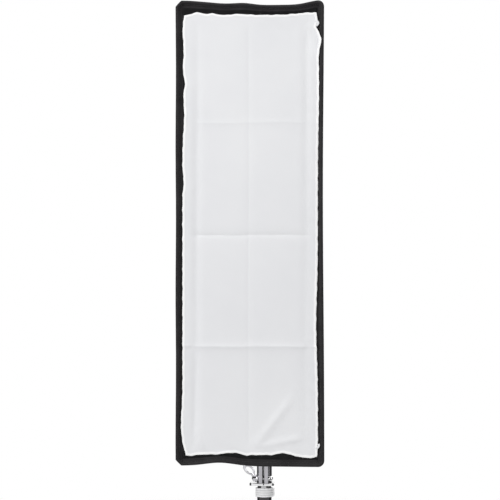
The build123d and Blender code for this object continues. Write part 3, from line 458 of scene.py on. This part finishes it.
def rim_line(side, inset):
    """One side's line at an inset, from the middle of one corner to that of the next, as (along, across)."""
    half_along, half_across = front_half[::-1] if side in ("left", "right") else front_half
    radius = max(CORNER - 0.8 * inset, 0.0008)
    centre = np.array([half_along - inset - radius, half_across - inset - radius])
    arcs = []
    for corner, low_angle, sign in zip(ENDS[side], (90, 0), (-1, 1)):
        turn = np.radians(np.linspace(low_angle + 90, low_angle, 17))
        arc = np.stack([np.cos(turn), np.sin(turn)], -1)
        flat = FLATTENED[corner]
        arcs.append(centre * (sign, 1) + radius * (arc * (1 - flat) + np.linspace(arc[0], arc[-1], 17) * flat))
    straight = np.linspace(arcs[0][-1], arcs[1][0], 181 if side in ("left", "right") else 81)
    return np.vstack([arcs[0][8:-1], straight, arcs[1][1:9]])


def on_front(side, line, y):
    """Places on one side's line, sagged, at a depth behind the front."""
    flat = placed(line[..., 0], line[..., 1], y, side)
    x, z = sagged(flat[..., 0], flat[..., 2] - AXIS[2])
    return np.stack([x, flat[..., 1], z + AXIS[2]], -1)


def shell_panel(side):
    """Between two corner seams: straight lines from the front's outline to the ring, pulled towards the axis.

    The pull is PULL_IN (1 - a^4) sin(pi f). Taut creases fan from the corners, as a small sine across the
    panel that dies away towards the middle.
    """
    long_side = side in ("left", "right")
    back_along, back_out = back_half[::-1] if long_side else back_half
    line = rim_line(side, 0.0006)
    a, f = np.meshgrid(line[:, 0] / line[-1, 0], np.linspace(0, 1, 61), indexing="ij")
    fore = on_front(side, line, shell_front)[:, None]
    rear = placed(a[:, :1] * back_along, np.full((len(line), 1), back_out - 0.0004), shell_back, side)
    slack = PULL_IN * (1 - a ** 4) * np.sin(np.pi * f)
    crease = 0.0011 * np.sin(17 * a + 6 * f + 1.3 * np.sin(5 * a)) * np.abs(a) ** 3
    crease = crease * np.sin(np.pi * f) * (1 - a ** 8)
    ripple = 0.0006 * np.sin(31 * a * (1 - 0.5 * f)) * (1 - f) ** 2 * (1 - a ** 8) * np.minimum(1, 12 * f)
    away = placed(np.zeros(1), np.ones(1), 0.0, side)[0] - (0, 0, AXIS[2])
    points = fore + (rear - fore) * f[..., None] + away * (crease + ripple - slack)[..., None]
    front_along, front_out = front_half[::-1] if long_side else front_half
    slant = np.hypot(shell_back - shell_front, back_out - front_out)
    cut = np.stack([line[:, :1] * (1 - f) + a * back_along * f, f * slant], -1)
    made = grid_piece(f"shell_panel_{side}", points[::-1], cut[::-1], [black_ripstop, silver_lining],
                      thickness=CLOTH)
    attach(made, "softbox")
    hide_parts(f"shell_{side}")


SIDES = ("top", "right", "bottom", "left")
for side in SIDES:
    shell_panel(side)

# Corner seams: the panels' edges bound together with a 9 mm strip of webbing, folded round them and stitched.
# A binding is a flattened tube along the straight line from the rim's corner to the speedring's.
webbing, tree = blank_material("webbing")
threads = use(tree, weave, Pitch=0.0009, Depth=0.00016)
fade = use(tree, soiling, Scale=30.0)["Mask"]
finished(tree, Base_Color=between(tree, fade, (0.0105, 0.0095, 0.0105), (0.018, 0.0165, 0.018)),
         Roughness=span(tree, fade, 0.72, 0.6), Normal=threads["Normal"], Sheen_Weight=0.08,
         Sheen_Roughness=0.35, Specular_IOR_Level=0.22)


def outward(made):
    """Turns the faces of a closed piece outwards."""
    mesh = bmesh.new()
    mesh.from_mesh(made.data)
    bmesh.ops.recalc_face_normals(mesh, faces=mesh.faces)
    mesh.to_mesh(made.data)
    mesh.free()
    return made


def closed_piece(name, points, material, body):
    """A grid whose rows are closed loops, with both ends closed. Its cut runs along it and round each loop."""
    count, round_it = points.shape[:2]
    faces = quads(count, round_it, around=True).tolist()
    faces += [list(range(round_it)), list(range((count - 1) * round_it, count * round_it))]
    made = new_object(name, points, faces)
    steps = np.linalg.norm(np.diff(points.mean(1), axis=0), axis=1)
    girth = np.linalg.norm(np.diff(points[count // 2], axis=0), axis=1)
    cut = np.zeros((count, round_it, 3))
    cut[..., 0] = np.concatenate([[0.0], np.cumsum(steps)])[:, None]
    cut[..., 1] = np.concatenate([[0.0], np.cumsum(girth)])
    held = made.data.attributes.new("cut", "FLOAT_VECTOR", "POINT")
    held.data.foreach_set("vector", cut.ravel())
    made.data.materials.append(material)
    outward(made)
    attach(made, body)
    return made


def carried(path, side, out, section):
    """Points of a section carried along a path: path + section_x * side + section_y * out.

    Side and out are unit vectors for each path point, and the section may change along the path.
    """
    section = np.broadcast_to(section, (len(path), *section.shape[-2:]))
    return path[:, None] + section[..., :1] * side[:, None] + section[..., 1:] * out[:, None]


def oval(half_wide, half_thick, points=20, power=0.6):
    """A flattened section: cosine and sine, each raised to a power that squares it off."""
    turn = np.linspace(0, 2 * np.pi, points, endpoint=False)
    wave = np.stack([np.cos(turn), np.sin(turn)], -1)
    return np.sign(wave) * np.abs(wave) ** power * (half_wide, half_thick)


CORNERS = {"top_left": (-1, 1), "top_right": (1, 1), "bottom_right": (1, -1), "bottom_left": (-1, -1)}
for side in SIDES:
    corner = ENDS[side][1]
    sx, sz = CORNERS[corner]
    f = np.linspace(0.01, 0.985, 60)
    start = on_front(side, rim_line(side, 0.001)[-1], shell_front)
    end = np.array([sx * (back_half[0] - 0.0005), shell_back, AXIS[2] + sz * (back_half[1] - 0.0005)])
    seam = start + (end - start) * f[:, None]
    across = np.broadcast_to(np.array([sx, 0.0, -sz]) / np.sqrt(2), seam.shape)
    away = np.broadcast_to(np.array([sx, 0.0, sz]) / np.sqrt(2), seam.shape)
    lumpy = oval(0.0024, 0.0012)[None] * (1 + 0.12 * np.sin(150 * f + sx) * np.sin(37 * f))[:, None, None]
    closed_piece(f"seam_binding_{corner}", carried(seam, across, away, lumpy), webbing, "softbox")

# Rear flaps: the shell's back edge, gathered by an elastic hem that grips the speedring's rim.
# Each line runs from a rectangle to the ring's circle; the gathers are a sine round it, larger near the hem.
ring_low, ring_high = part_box("speedring")
hem_radius = (ring_high.x - ring_low.x) / 2 + 0.0006
f, turn = np.meshgrid(np.linspace(0, 1, 22), np.linspace(2 * np.pi, 0, 360, endpoint=False), indexing="ij")
wave = np.stack([np.cos(turn), np.sin(turn)], -1)
square = wave / np.max(np.abs(wave) / back_half, axis=-1, keepdims=True)
ease = (f ** 1.3)[..., None]
pleat = np.sin(60 * turn + 2.0 * np.sin(7 * turn)) * f ** 1.5
swell = np.sin(np.pi * np.clip((f - 0.8) / 0.2, 0, 1))
gathered = square * (1 - ease) + wave * (hem_radius * ease + (0.0004 * (1 + pleat))[..., None])
back_by = (ring_high.y - 0.0011 - flap_low.y) * np.sin(np.pi / 2 * f) ** 0.9
y = flap_low.y + back_by - 0.0007 * pleat + 0.0011 * swell
flaps = grid_piece("rear_skirt", np.stack([gathered[..., 0], y, gathered[..., 1] + AXIS[2]], -1), gathered,
                   [black_ripstop, silver_lining], around=True, thickness=CLOTH)
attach(flaps, "softbox")
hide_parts("rear_flaps")

# Rod pockets: a sleeve of webbing over each rod's cap, closed at its nose and sewn into the front corner.
# A sleeve is an oval section that narrows towards the cap's nose and flares where the rod goes in.
cap_low, cap_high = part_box("rod_caps")
rod_low, rod_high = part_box("rod_top_right")
nose = np.array([cap_high.x - 0.004, cap_low.y + 0.004, cap_high.z - 0.004 - AXIS[2]])
rear = np.array([rod_low.x, rod_high.y, rod_low.z - AXIS[2]])
for corner, (sx, sz) in CORNERS.items():
    run = (nose - rear) * (sx, 1, sz)
    run = run / np.linalg.norm(run)
    f = np.linspace(0, 1, 24)
    sleeve = nose * (sx, 1, sz) + (0, 0, AXIS[2]) + run * (0.0035 - 0.026 * f)[:, None]
    side = np.cross(run, (0, 1, 0))
    side = np.broadcast_to(side / np.linalg.norm(side), sleeve.shape)
    out = np.cross(side, run)
    girth = np.minimum(1, 0.35 + 3 * np.sqrt(f)) * (1 + 0.1 * f ** 3)
    mouth = oval(0.0068, 0.0052, power=0.9)[None] * girth[:, None, None]
    pocket = closed_piece(f"rod_pocket_{corner}", carried(sleeve, side, out, mouth), webbing, "softbox")
    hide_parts("corner_pockets")

# Front rim: nylon webbing rolled over a hem and sewn down, in four lengths that meet in the corners.
# A section of roll, seam and band is carried round the front's outline, and loosens into small waves.
ROLL = 0.0036
BAND = 0.030
rim_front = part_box("rim_top")[0].y
rim_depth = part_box("rim_top")[1].y - rim_front


def rim_section():
    """The rim's section as (inset, depth): round the roll, down to the seam, along the band and back behind."""
    turn = np.radians(np.linspace(0, 165, 14))
    roll = np.stack([ROLL * (1 - np.cos(turn)), ROLL * (1 - 1.05 * np.sin(turn))], -1)
    seam = [[0.0078, 0.0049], [0.0084, 0.0066], [0.0095, 0.0074], [0.0115, 0.0078]]
    band = np.stack([np.linspace(0.014, BAND - 0.002, 7), np.full(7, 0.0081)], -1)
    edge = np.radians(np.linspace(-60, 90, 6))
    fold = np.stack([BAND - 0.0018 + 0.0018 * np.cos(edge), 0.0099 + 0.0018 * np.sin(edge)], -1)
    back = [[0.020, rim_depth - 0.0002], [0.010, rim_depth], [0.0006, rim_depth], [0.0001, 0.0085]]
    return np.vstack([roll, seam, band, fold, back])


for side in SIDES:
    section = rim_section()
    lines = np.stack([rim_line(side, inset) for inset, depth in section], 1)
    rolled = on_front(side, lines, rim_front + section[:, 1])
    x, z = rolled[..., 0], rolled[..., 2]
    ripple = np.sin(95 * (x + z)) + 0.7 * np.sin(161 * (x - z) + 2) + 0.5 * np.sin(340 * (x + 0.6 * z))
    loose = bump(section[:, 0], 0.003, 0.004) + 0.5 * bump(section[:, 0], 0.018, 0.007)
    rolled[..., 1] += 0.00028 * ripple * loose * (section[:, 1] < 0.0095)
    rim = closed_piece(f"rim_roll_{side}", rolled, webbing, "softbox")
    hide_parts(f"rim_{side}")

# Rim stitching: a row of thick black thread in the seam between the roll and the band.
# One stitch is a small arch of thread whose rings shrink towards its ends.
RIM_STITCH = 0.0042
thread_dark, tree = blank_material("black_thread")
twist = use(tree, grain, Scale=2600.0, Depth=0.00008)
finished(tree, Base_Color=between(tree, twist["Mask"], (0.016, 0.016, 0.016), (0.034, 0.033, 0.033)),
         Roughness=0.5, Normal=twist["Normal"], Sheen_Weight=0.3)


def evenly(line, pitch):
    """Places at an even pitch along a line [n, 3], and the line's direction there."""
    reach = np.concatenate([[0.0], np.cumsum(np.linalg.norm(np.diff(line, axis=0), axis=1))])
    at = np.arange(pitch / 2, reach[-1], pitch)
    places = np.stack([np.interp(at, reach, line[:, i]) for i in range(3)], -1)
    ahead = np.stack([np.interp(at + 0.0005, reach, line[:, i]) for i in range(3)], -1)
    behind = np.stack([np.interp(at - 0.0005, reach, line[:, i]) for i in range(3)], -1)
    run = ahead - behind
    return places, run / np.linalg.norm(run, axis=1, keepdims=True)


def stitched(name, places, run, length, thick, material, body, slot):
    """A row of stitches that face the front: each is an arch 5 rings long and 6 points round."""
    t = np.linspace(-1, 1, 5)
    turn = np.linspace(0, 2 * np.pi, 6, endpoint=False)
    ring = np.sqrt(1 - 0.9 * t ** 2)[:, None] * thick
    front = np.array([0.0, -1.0, 0.0])
    wide = np.cross(run, front)
    points = (places[:, None, None] + run[:, None, None] * (t * length / 2)[:, None, None]
              + front * ((1 - t ** 2)[:, None, None] * thick * 0.8 + (ring * np.sin(turn))[..., None])
              + wide[:, None, None] * (ring * np.cos(turn))[..., None])
    one = quads(5, 6, around=True)
    caps = np.array([[0, 1, 2, 3], [0, 3, 4, 5], [24, 25, 26, 27], [24, 27, 28, 29]])
    faces = (np.vstack([one, caps])[None] + 30 * np.arange(len(places))[:, None, None]).reshape(-1, 4)
    made = new_object(name, points, faces)
    made.data.materials.append(material)
    outward(made)
    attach(made, body)
    return made


seam_line = np.vstack([on_front(side, rim_line(side, 0.0082), rim_front + 0.0054) for side in SIDES])
stitched("rim_stitching", *evenly(seam_line, RIM_STITCH), 0.0031, 0.00033, thread_dark, "softbox",
         "rim_webbing")

# Hook tape: strips sewn on the band, with rows of small hooks that hold the diffuser.
# The hooks are too fine to model one by one, so they are a bumped grid on the strips.
tape_low, tape_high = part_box("hook_tape")
TAPE_EDGES = (0.0145, 0.0290)
hooks, tree = blank_material("hook_tape")
rows = use(tree, weave, Pitch=0.0013, Depth=0.0009)
tint = use(tree, soiling, Scale=60.0)["Mask"]
finished(tree, Base_Color=between(tree, tint, (0.005, 0.005, 0.0055), (0.010, 0.010, 0.0105)),
         Roughness=span(tree, rows["Height"], 0.75, 0.45), Normal=rows["Normal"], Specular_IOR_Level=0.2)
for side in SIDES:
    long_side = side in ("left", "right")
    half = (front_half[1] - 0.031) if long_side else (front_half[0] - 0.014)
    middle = (front_half[0] if long_side else front_half[1]) - sum(TAPE_EDGES) / 2
    run = np.linspace(-half, half, 181 if long_side else 61)
    section = oval((TAPE_EDGES[1] - TAPE_EDGES[0]) / 2, 0.00075, 24, 0.35)
    along, across = run[:, None] + 0 * section[:, 0], middle + section[:, 0] + 0 * run[:, None]
    strip = on_front(side, np.stack([along, across], -1), (tape_low.y + tape_high.y) / 2 + section[:, 1])
    tape = closed_piece(f"tape_{side}", strip, hooks, "softbox")
    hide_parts("hook_tape")

# Inner baffle: a second sheet of white diffusion cloth inside, pulled out by elastic at its corners.
# Its edges hollow by HOLLOW (1 - t^2), and creases run in from each corner.
baffle_low, baffle_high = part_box("inner_baffle")
HOLLOW = 0.006
white_cloth, tree = blank_material("diffusion_cloth")
threads = use(tree, weave, Pitch=0.0004, Depth=0.00003)
tone = use(tree, soiling, Scale=5.0)["Mask"]
hem_share = node(tree, "ShaderNodeAttribute", {"attribute_name": "hem"}).outputs["Fac"]
body_colour = between(tree, tone, (0.765, 0.77, 0.79), (0.80, 0.805, 0.82))
whole = node(tree, "ShaderNodeMix", {"data_type": "RGBA"}, _0=hem_share, _6=body_colour,
             _7=(0.97, 0.97, 0.97, 1.0))
finished(tree, Base_Color=whole.outputs[2], Roughness=span(tree, tone, 0.62, 0.55), Normal=threads["Normal"],
         Sheen_Weight=0.1, Specular_IOR_Level=0.3)


def marked(made, name, values):
    """Keeps a number for each point of a piece, for its material."""
    held = made.data.attributes.new(name, "FLOAT", "POINT")
    held.data.foreach_set("value", values.astype(np.float32).ravel())


a, b = np.meshgrid(np.linspace(-1, 1, 61), np.linspace(-1, 1, 141), indexing="ij")
baffle_half = np.array([(baffle_high.x - baffle_low.x) / 2, (baffle_high.z - baffle_low.z) / 2])
x = a * (baffle_half[0] - HOLLOW * (1 - b ** 2))
z = b * (baffle_half[1] - HOLLOW * (1 - a ** 2))
from_corner = np.hypot((1 - np.abs(a)) * baffle_half[0], (1 - np.abs(b)) * baffle_half[1])
angle = np.arctan2(1 - np.abs(b) + 1e-6, 1 - np.abs(a) + 1e-6)
y = (baffle_low.y + baffle_high.y) / 2 + 0.0009 * np.sin(14 * angle) * np.exp(-from_corner / 0.05)
y = y + 0.0012 * np.sin(5 * a + 2 * b) * (1 - a ** 2) * (1 - b ** 2)
baffle = grid_piece("baffle_sheet", np.stack([x, y, z + AXIS[2]], -1), np.stack([x, z], -1), [white_cloth],
                    thickness=0.0005)
edge = np.minimum((1 - np.abs(a)) * baffle_half[0], (1 - np.abs(b)) * baffle_half[1])
marked(baffle, "hem", np.clip((0.008 - edge) / 0.001, 0, 1))
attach(baffle, "softbox")
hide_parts("inner_baffle")

# Baffle elastics: four lengths of flat ribbed elastic from the baffle's corners to the corner seams.
# Each narrows in the middle, where it is stretched, and is sewn flat at both ends.
elastic, tree = blank_material("ribbed_elastic")
cut = node(tree, "ShaderNodeAttribute", {"attribute_name": "cut"}).outputs["Vector"]
across = node(tree, "ShaderNodeSeparateXYZ", _0=cut).outputs[1]
ribs = node(tree, "ShaderNodeMath", {"operation": "SINE"},
            _0=node(tree, "ShaderNodeMath", {"operation": "MULTIPLY"}, _0=across, _1=5200.0).outputs[0])
ridge = node(tree, "ShaderNodeBump", Strength=0.8, Distance=0.0002, Height=ribs.outputs[0])
dull = use(tree, soiling, Scale=80.0)["Mask"]
finished(tree, Base_Color=between(tree, dull, (0.016, 0.016, 0.016), (0.03, 0.03, 0.03)), Roughness=0.7,
         Normal=ridge.outputs[0], Sheen_Weight=0.3)
strap_low, strap_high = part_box("baffle_straps")
for corner, (sx, sz) in CORNERS.items():
    start = np.array([sx * (baffle_half[0] - 0.006), strap_low.y + 0.0007,
                      AXIS[2] + sz * (baffle_half[1] - 0.008)])
    end = np.array([sx * (strap_high.x - 0.004), strap_low.y + 0.0007, AXIS[2] + sz * 0.2855])
    f = np.linspace(0, 1, 40)
    line = start + (end - start) * f[:, None]
    run = (end - start) / np.linalg.norm(end - start)
    across = np.broadcast_to(np.cross(run, (0, 1, 0)), line.shape)
    front = np.broadcast_to(np.array([0.0, -1.0, 0.0]), line.shape)
    width = 1 - 0.18 * np.sin(np.pi * f)
    section = oval(0.006, 0.0005, 24, 0.4)[None] * np.stack([width, np.ones_like(f)], -1)[:, None]
    strap = closed_piece(f"elastic_{corner}", carried(line, across, front, section), elastic, "softbox")
    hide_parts("baffle_straps")

# Front diffuser: white nylon with a doubled hem, pressed on the hook tape by hand, so its edge wanders.
# It keeps the creases of its storage: folded in four along its height and once across.
cloth_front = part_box("front_diffuser")[0].y
HEM = 0.0045
# Each edge is a straight line with a few hills and hollows along it, in mm:
# (the line's place, [(a hill's middle, its width, its height), ...]).
TOP_HEM = (441, [(-106, 18, 6.5), (-74, 12, 4), (-22, 24, 2.5), (125, 35, 4)])
BOTTOM_HEM = (-447, [(-122, 16, -3), (-36, 22, 4), (-6, 9, -2), (68, 15, 4.5), (118, 24, -5)])
LEFT_HEM = (-136.5, [(-455, 24, 7), (-385, 40, -3), (108, 18, 2.5), (245, 45, 3.5), (311, 18, 4.5),
                     (375, 30, 2.5), (452, 16, 4)])
RIGHT_HEM = (138, [(-455, 20, -2), (-180, 90, -3.5), (300, 110, 2.5), (392, 17, 6), (421, 7, -5),
                   (452, 14, -3.5)])


def flowing(at, hem):
    """One edge of the diffuser: its straight place plus its hills and hollows, each a bump."""
    place, hills = hem
    return (place + sum(height * bump(at * 1000, middle, width) for middle, width, height in hills)) / 1000


def fold(x, z, start, end, width, height):
    """A soft fold along the line from start to end: a bump across it that fades out past the ends."""
    start, end = np.array(start), np.array(end)
    run = (end - start) / np.linalg.norm(end - start)
    along = (x - start[0]) * run[0] + (z - start[1]) * run[1]
    across = (z - start[1]) * run[0] - (x - start[0]) * run[1]
    reach = np.linalg.norm(end - start)
    inside = 1 / (1 + np.exp(-(along / reach) * 14)) / (1 + np.exp((along / reach - 1) * 14))
    return height * np.exp(-(across / width) ** 2) * inside


def crease(distance, height, width):
    """A pressed crease: height times e to the power of minus distance over width, rounded at its line."""
    return height * np.exp(-(np.sqrt(distance ** 2 + 0.0004 ** 2) - 0.0004) / width)


def cloth_rise(x, z, edge):
    """How far the diffuser stands in front of its plane; z is from the light axis, edge is from its hem."""
    wander = 0.0006 * np.sin(33 * x) + 0.0003 * np.sin(90 * x + 1)
    rise = crease(z - 0.224 - wander, 0.0008, 0.005) + crease(z + 0.003 - wander, -0.0019, 0.006)
    rise = rise + crease(z + 0.228 - wander, 0.0021, 0.006)
    rise = rise + crease(x + 0.002 - 0.0008 * np.sin(9 * z), -0.0009, 0.005)
    rise = rise + fold(x, z, (-0.112, -0.44), (-0.110, 0.36), 0.010, -0.0034)
    rise = rise + fold(x, z, (-0.116, -0.43), (-0.113, -0.27), 0.007, -0.0024)
    rise = rise + fold(x, z, (0.122, -0.02), (0.119, 0.43), 0.010, -0.0048)
    rise = rise + fold(x, z, (0.119, -0.40), (0.122, -0.02), 0.012, -0.0026)
    rise = rise + fold(x, z, (0.010, -0.432), (0.081, -0.338), 0.009, 0.0022)
    rise = rise + fold(x, z, (0.024, -0.431), (0.101, -0.413), 0.007, 0.0024)
    rise = rise + fold(x, z, (0.000, 0.434), (0.081, 0.436), 0.0035, -0.0016)
    rise = rise + fold(x, z, (-0.095, -0.435), (-0.108, -0.395), 0.006, 0.0012)
    rise = rise + 0.0011 * np.sin(13 * x + 0.8) * np.sin(5 * z + 1.1) + 0.0005 * np.sin(31 * x + 7 * z)
    pucker = 0.0005 * np.sin(150 * (x + z) + 3 * np.sin(23 * (x - z))) * np.exp(-edge / 0.010)
    hem = 0.00045 / (1 + np.exp((edge - HEM) / 0.00025))
    over_edge = -0.0006 * np.exp(-edge / 0.0006)
    sunk = np.minimum(rise, 0) * (1 - np.exp(-(edge / 0.026) ** 4))
    return np.maximum(rise, 0) + sunk + pucker + hem + over_edge


def on_diffuser(across, up):
    """Places on the diffuser from its cut coordinates, 0 to 1 from left to right and from bottom to top."""
    z_cut = -0.4495 + 0.8985 * up
    ragged = 0.00035 * np.sin(210 * z_cut) + 0.00025 * np.sin(410 * z_cut + 2)
    left, right = flowing(z_cut, LEFT_HEM) + ragged, flowing(z_cut, RIGHT_HEM) + ragged
    x = left + (right - left) * across
    ragged = 0.00035 * np.sin(230 * x + 1) + 0.00025 * np.sin(390 * x)
    bottom, top = flowing(x, BOTTOM_HEM) + ragged, flowing(x, TOP_HEM) + ragged
    z = bottom + (top - bottom) * up
    edge = np.minimum(np.minimum(x - left, right - x), np.minimum(z - bottom, top - z))
    to_rim = front_half[0] - 0.001 - np.abs(x)
    over_roll = 0.0064 / (1 + np.exp((to_rim - 0.0078) / 0.0006))
    y = cloth_front - cloth_rise(x, z, edge) - over_roll
    return np.stack([x, y, z + AXIS[2]], -1), edge


def spread(size, finest, lines):
    """Grid lines from 0 to 1 over a size: close at both edges and round the lines named, wider between."""
    near = np.array([0.0, 0.0006, 0.0013, 0.0028, 0.0040, 0.0045, 0.0050, 0.0062, 0.0085])
    offsets = (-0.008, -0.0045, -0.0022, -0.0008, 0.0, 0.0008, 0.0022, 0.0045, 0.008)
    around_lines = [line + offset for line in lines for offset in offsets]
    every = np.concatenate([near, size - near, np.arange(0.0115, size - 0.011, finest), around_lines])
    every = np.sort(every)
    return every[np.concatenate([[True], np.diff(every) > 0.0003])] / size


CUT_WIDE, CUT_HIGH = 0.276, 0.898
across, up = np.meshgrid(spread(CUT_WIDE, 0.0034, [0.136]), spread(CUT_HIGH, 0.0036, [0.2215, 0.4465, 0.6735]),
                         indexing="ij")
points, edge = on_diffuser(across, up)
diffuser = grid_piece("diffuser_cloth", points, np.stack([across * CUT_WIDE, up * CUT_HIGH], -1), [white_cloth],
                      thickness=0.0005)
marked(diffuser, "hem", 1 / (1 + np.exp((edge - 0.0042) / 0.0004)))
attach(diffuser, "softbox")
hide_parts("front_diffuser")

# Hem stitching: white thread along the inner side of the diffuser's hem.
# It follows the same curves as the hem, just inside it.
HEM_STITCH = 0.0034
thread_white, tree = blank_material("white_thread")
twist = use(tree, grain, Scale=2600.0, Depth=0.00008)
finished(tree, Base_Color=between(tree, twist["Mask"], (0.80, 0.80, 0.80), (0.90, 0.90, 0.89)),
         Roughness=0.5, Normal=twist["Normal"], Sheen_Weight=0.2)
HEM_SEAM = 0.0040
a, b = HEM_SEAM / CUT_WIDE, HEM_SEAM / CUT_HIGH
long_way, short_way = np.linspace(b, 1 - b, 500), np.linspace(a, 1 - a, 160)
loop = [on_diffuser(short_way, np.full(160, 1 - b)), on_diffuser(np.full(500, 1 - a), long_way[::-1]),
        on_diffuser(short_way[::-1], np.full(160, b)), on_diffuser(np.full(500, a), long_way)]
hem_line = np.vstack([places for places, edge in loop])
stitched("hem_stitching", *evenly(hem_line, HEM_STITCH), 0.0024, 0.0002, thread_white, "softbox",
         "diffuser_cloth")

# Pull tabs: two short loops of white tape tucked under the diffuser's right edge, to peel it off by.
# Each is a flat strip that bends out from under the hem, over the rim and back.
for name, start, end, swing in (("pull_tab_top", (0.1325, 0.430), (0.1345, 0.418), 0.0055),
                                ("pull_tab_bottom", (0.1345, -0.4335), (0.1395, -0.4235), 0.0025)):
    f = np.linspace(0, 1, 30)
    start, end = np.array([start[0], 0.0, start[1] + AXIS[2]]), np.array([end[0], 0.0, end[1] + AXIS[2]])
    line = start + (end - start) * f[:, None]
    line[:, 0] += swing * np.sin(np.pi * f)
    line[:, 1] = cloth_front - 0.0006 - 0.0022 * np.sin(np.pi * f) ** 0.7
    run = np.gradient(line, axis=0)
    run = run / np.linalg.norm(run, axis=1, keepdims=True)
    across = np.cross(run, (0.0, 1.0, 0.0))
    across = across / np.linalg.norm(across, axis=1, keepdims=True)
    closed_piece(name, carried(line, across, np.cross(across, run), oval(0.0021, 0.0004, 20, 0.5)), white_cloth,
                 "softbox")

# Latch spring: four turns of wire between the pin's collar and the cap, which close up as the button is pulled.
# The wire's section is carried along a helix round the pin.
WIRE = 0.0004
SPRING_TURNS = 4
spring_low, spring_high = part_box("latch_spring")
middle = (spring_low + spring_high) / 2
turn = np.linspace(0, 2 * np.pi * SPRING_TURNS, 40 * SPRING_TURNS + 1)
outwards = np.stack([np.cos(turn), 0 * turn, np.sin(turn)], -1)
path = outwards * ((spring_high.x - spring_low.x) / 2 - WIRE) + (middle.x, 0.0, middle.z)
path[:, 1] = np.linspace(spring_low.y + WIRE, spring_high.y - WIRE, len(turn))
run = np.gradient(path, axis=0)
run = run / np.linalg.norm(run, axis=1, keepdims=True)
coil = closed_piece("latch_coil", carried(path, outwards, np.cross(run, outwards), oval(WIRE, WIRE, 10, 1.0)),
                    bpy.data.materials["spring_steel"], "bracket")
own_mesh(coil)
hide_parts("latch_spring")
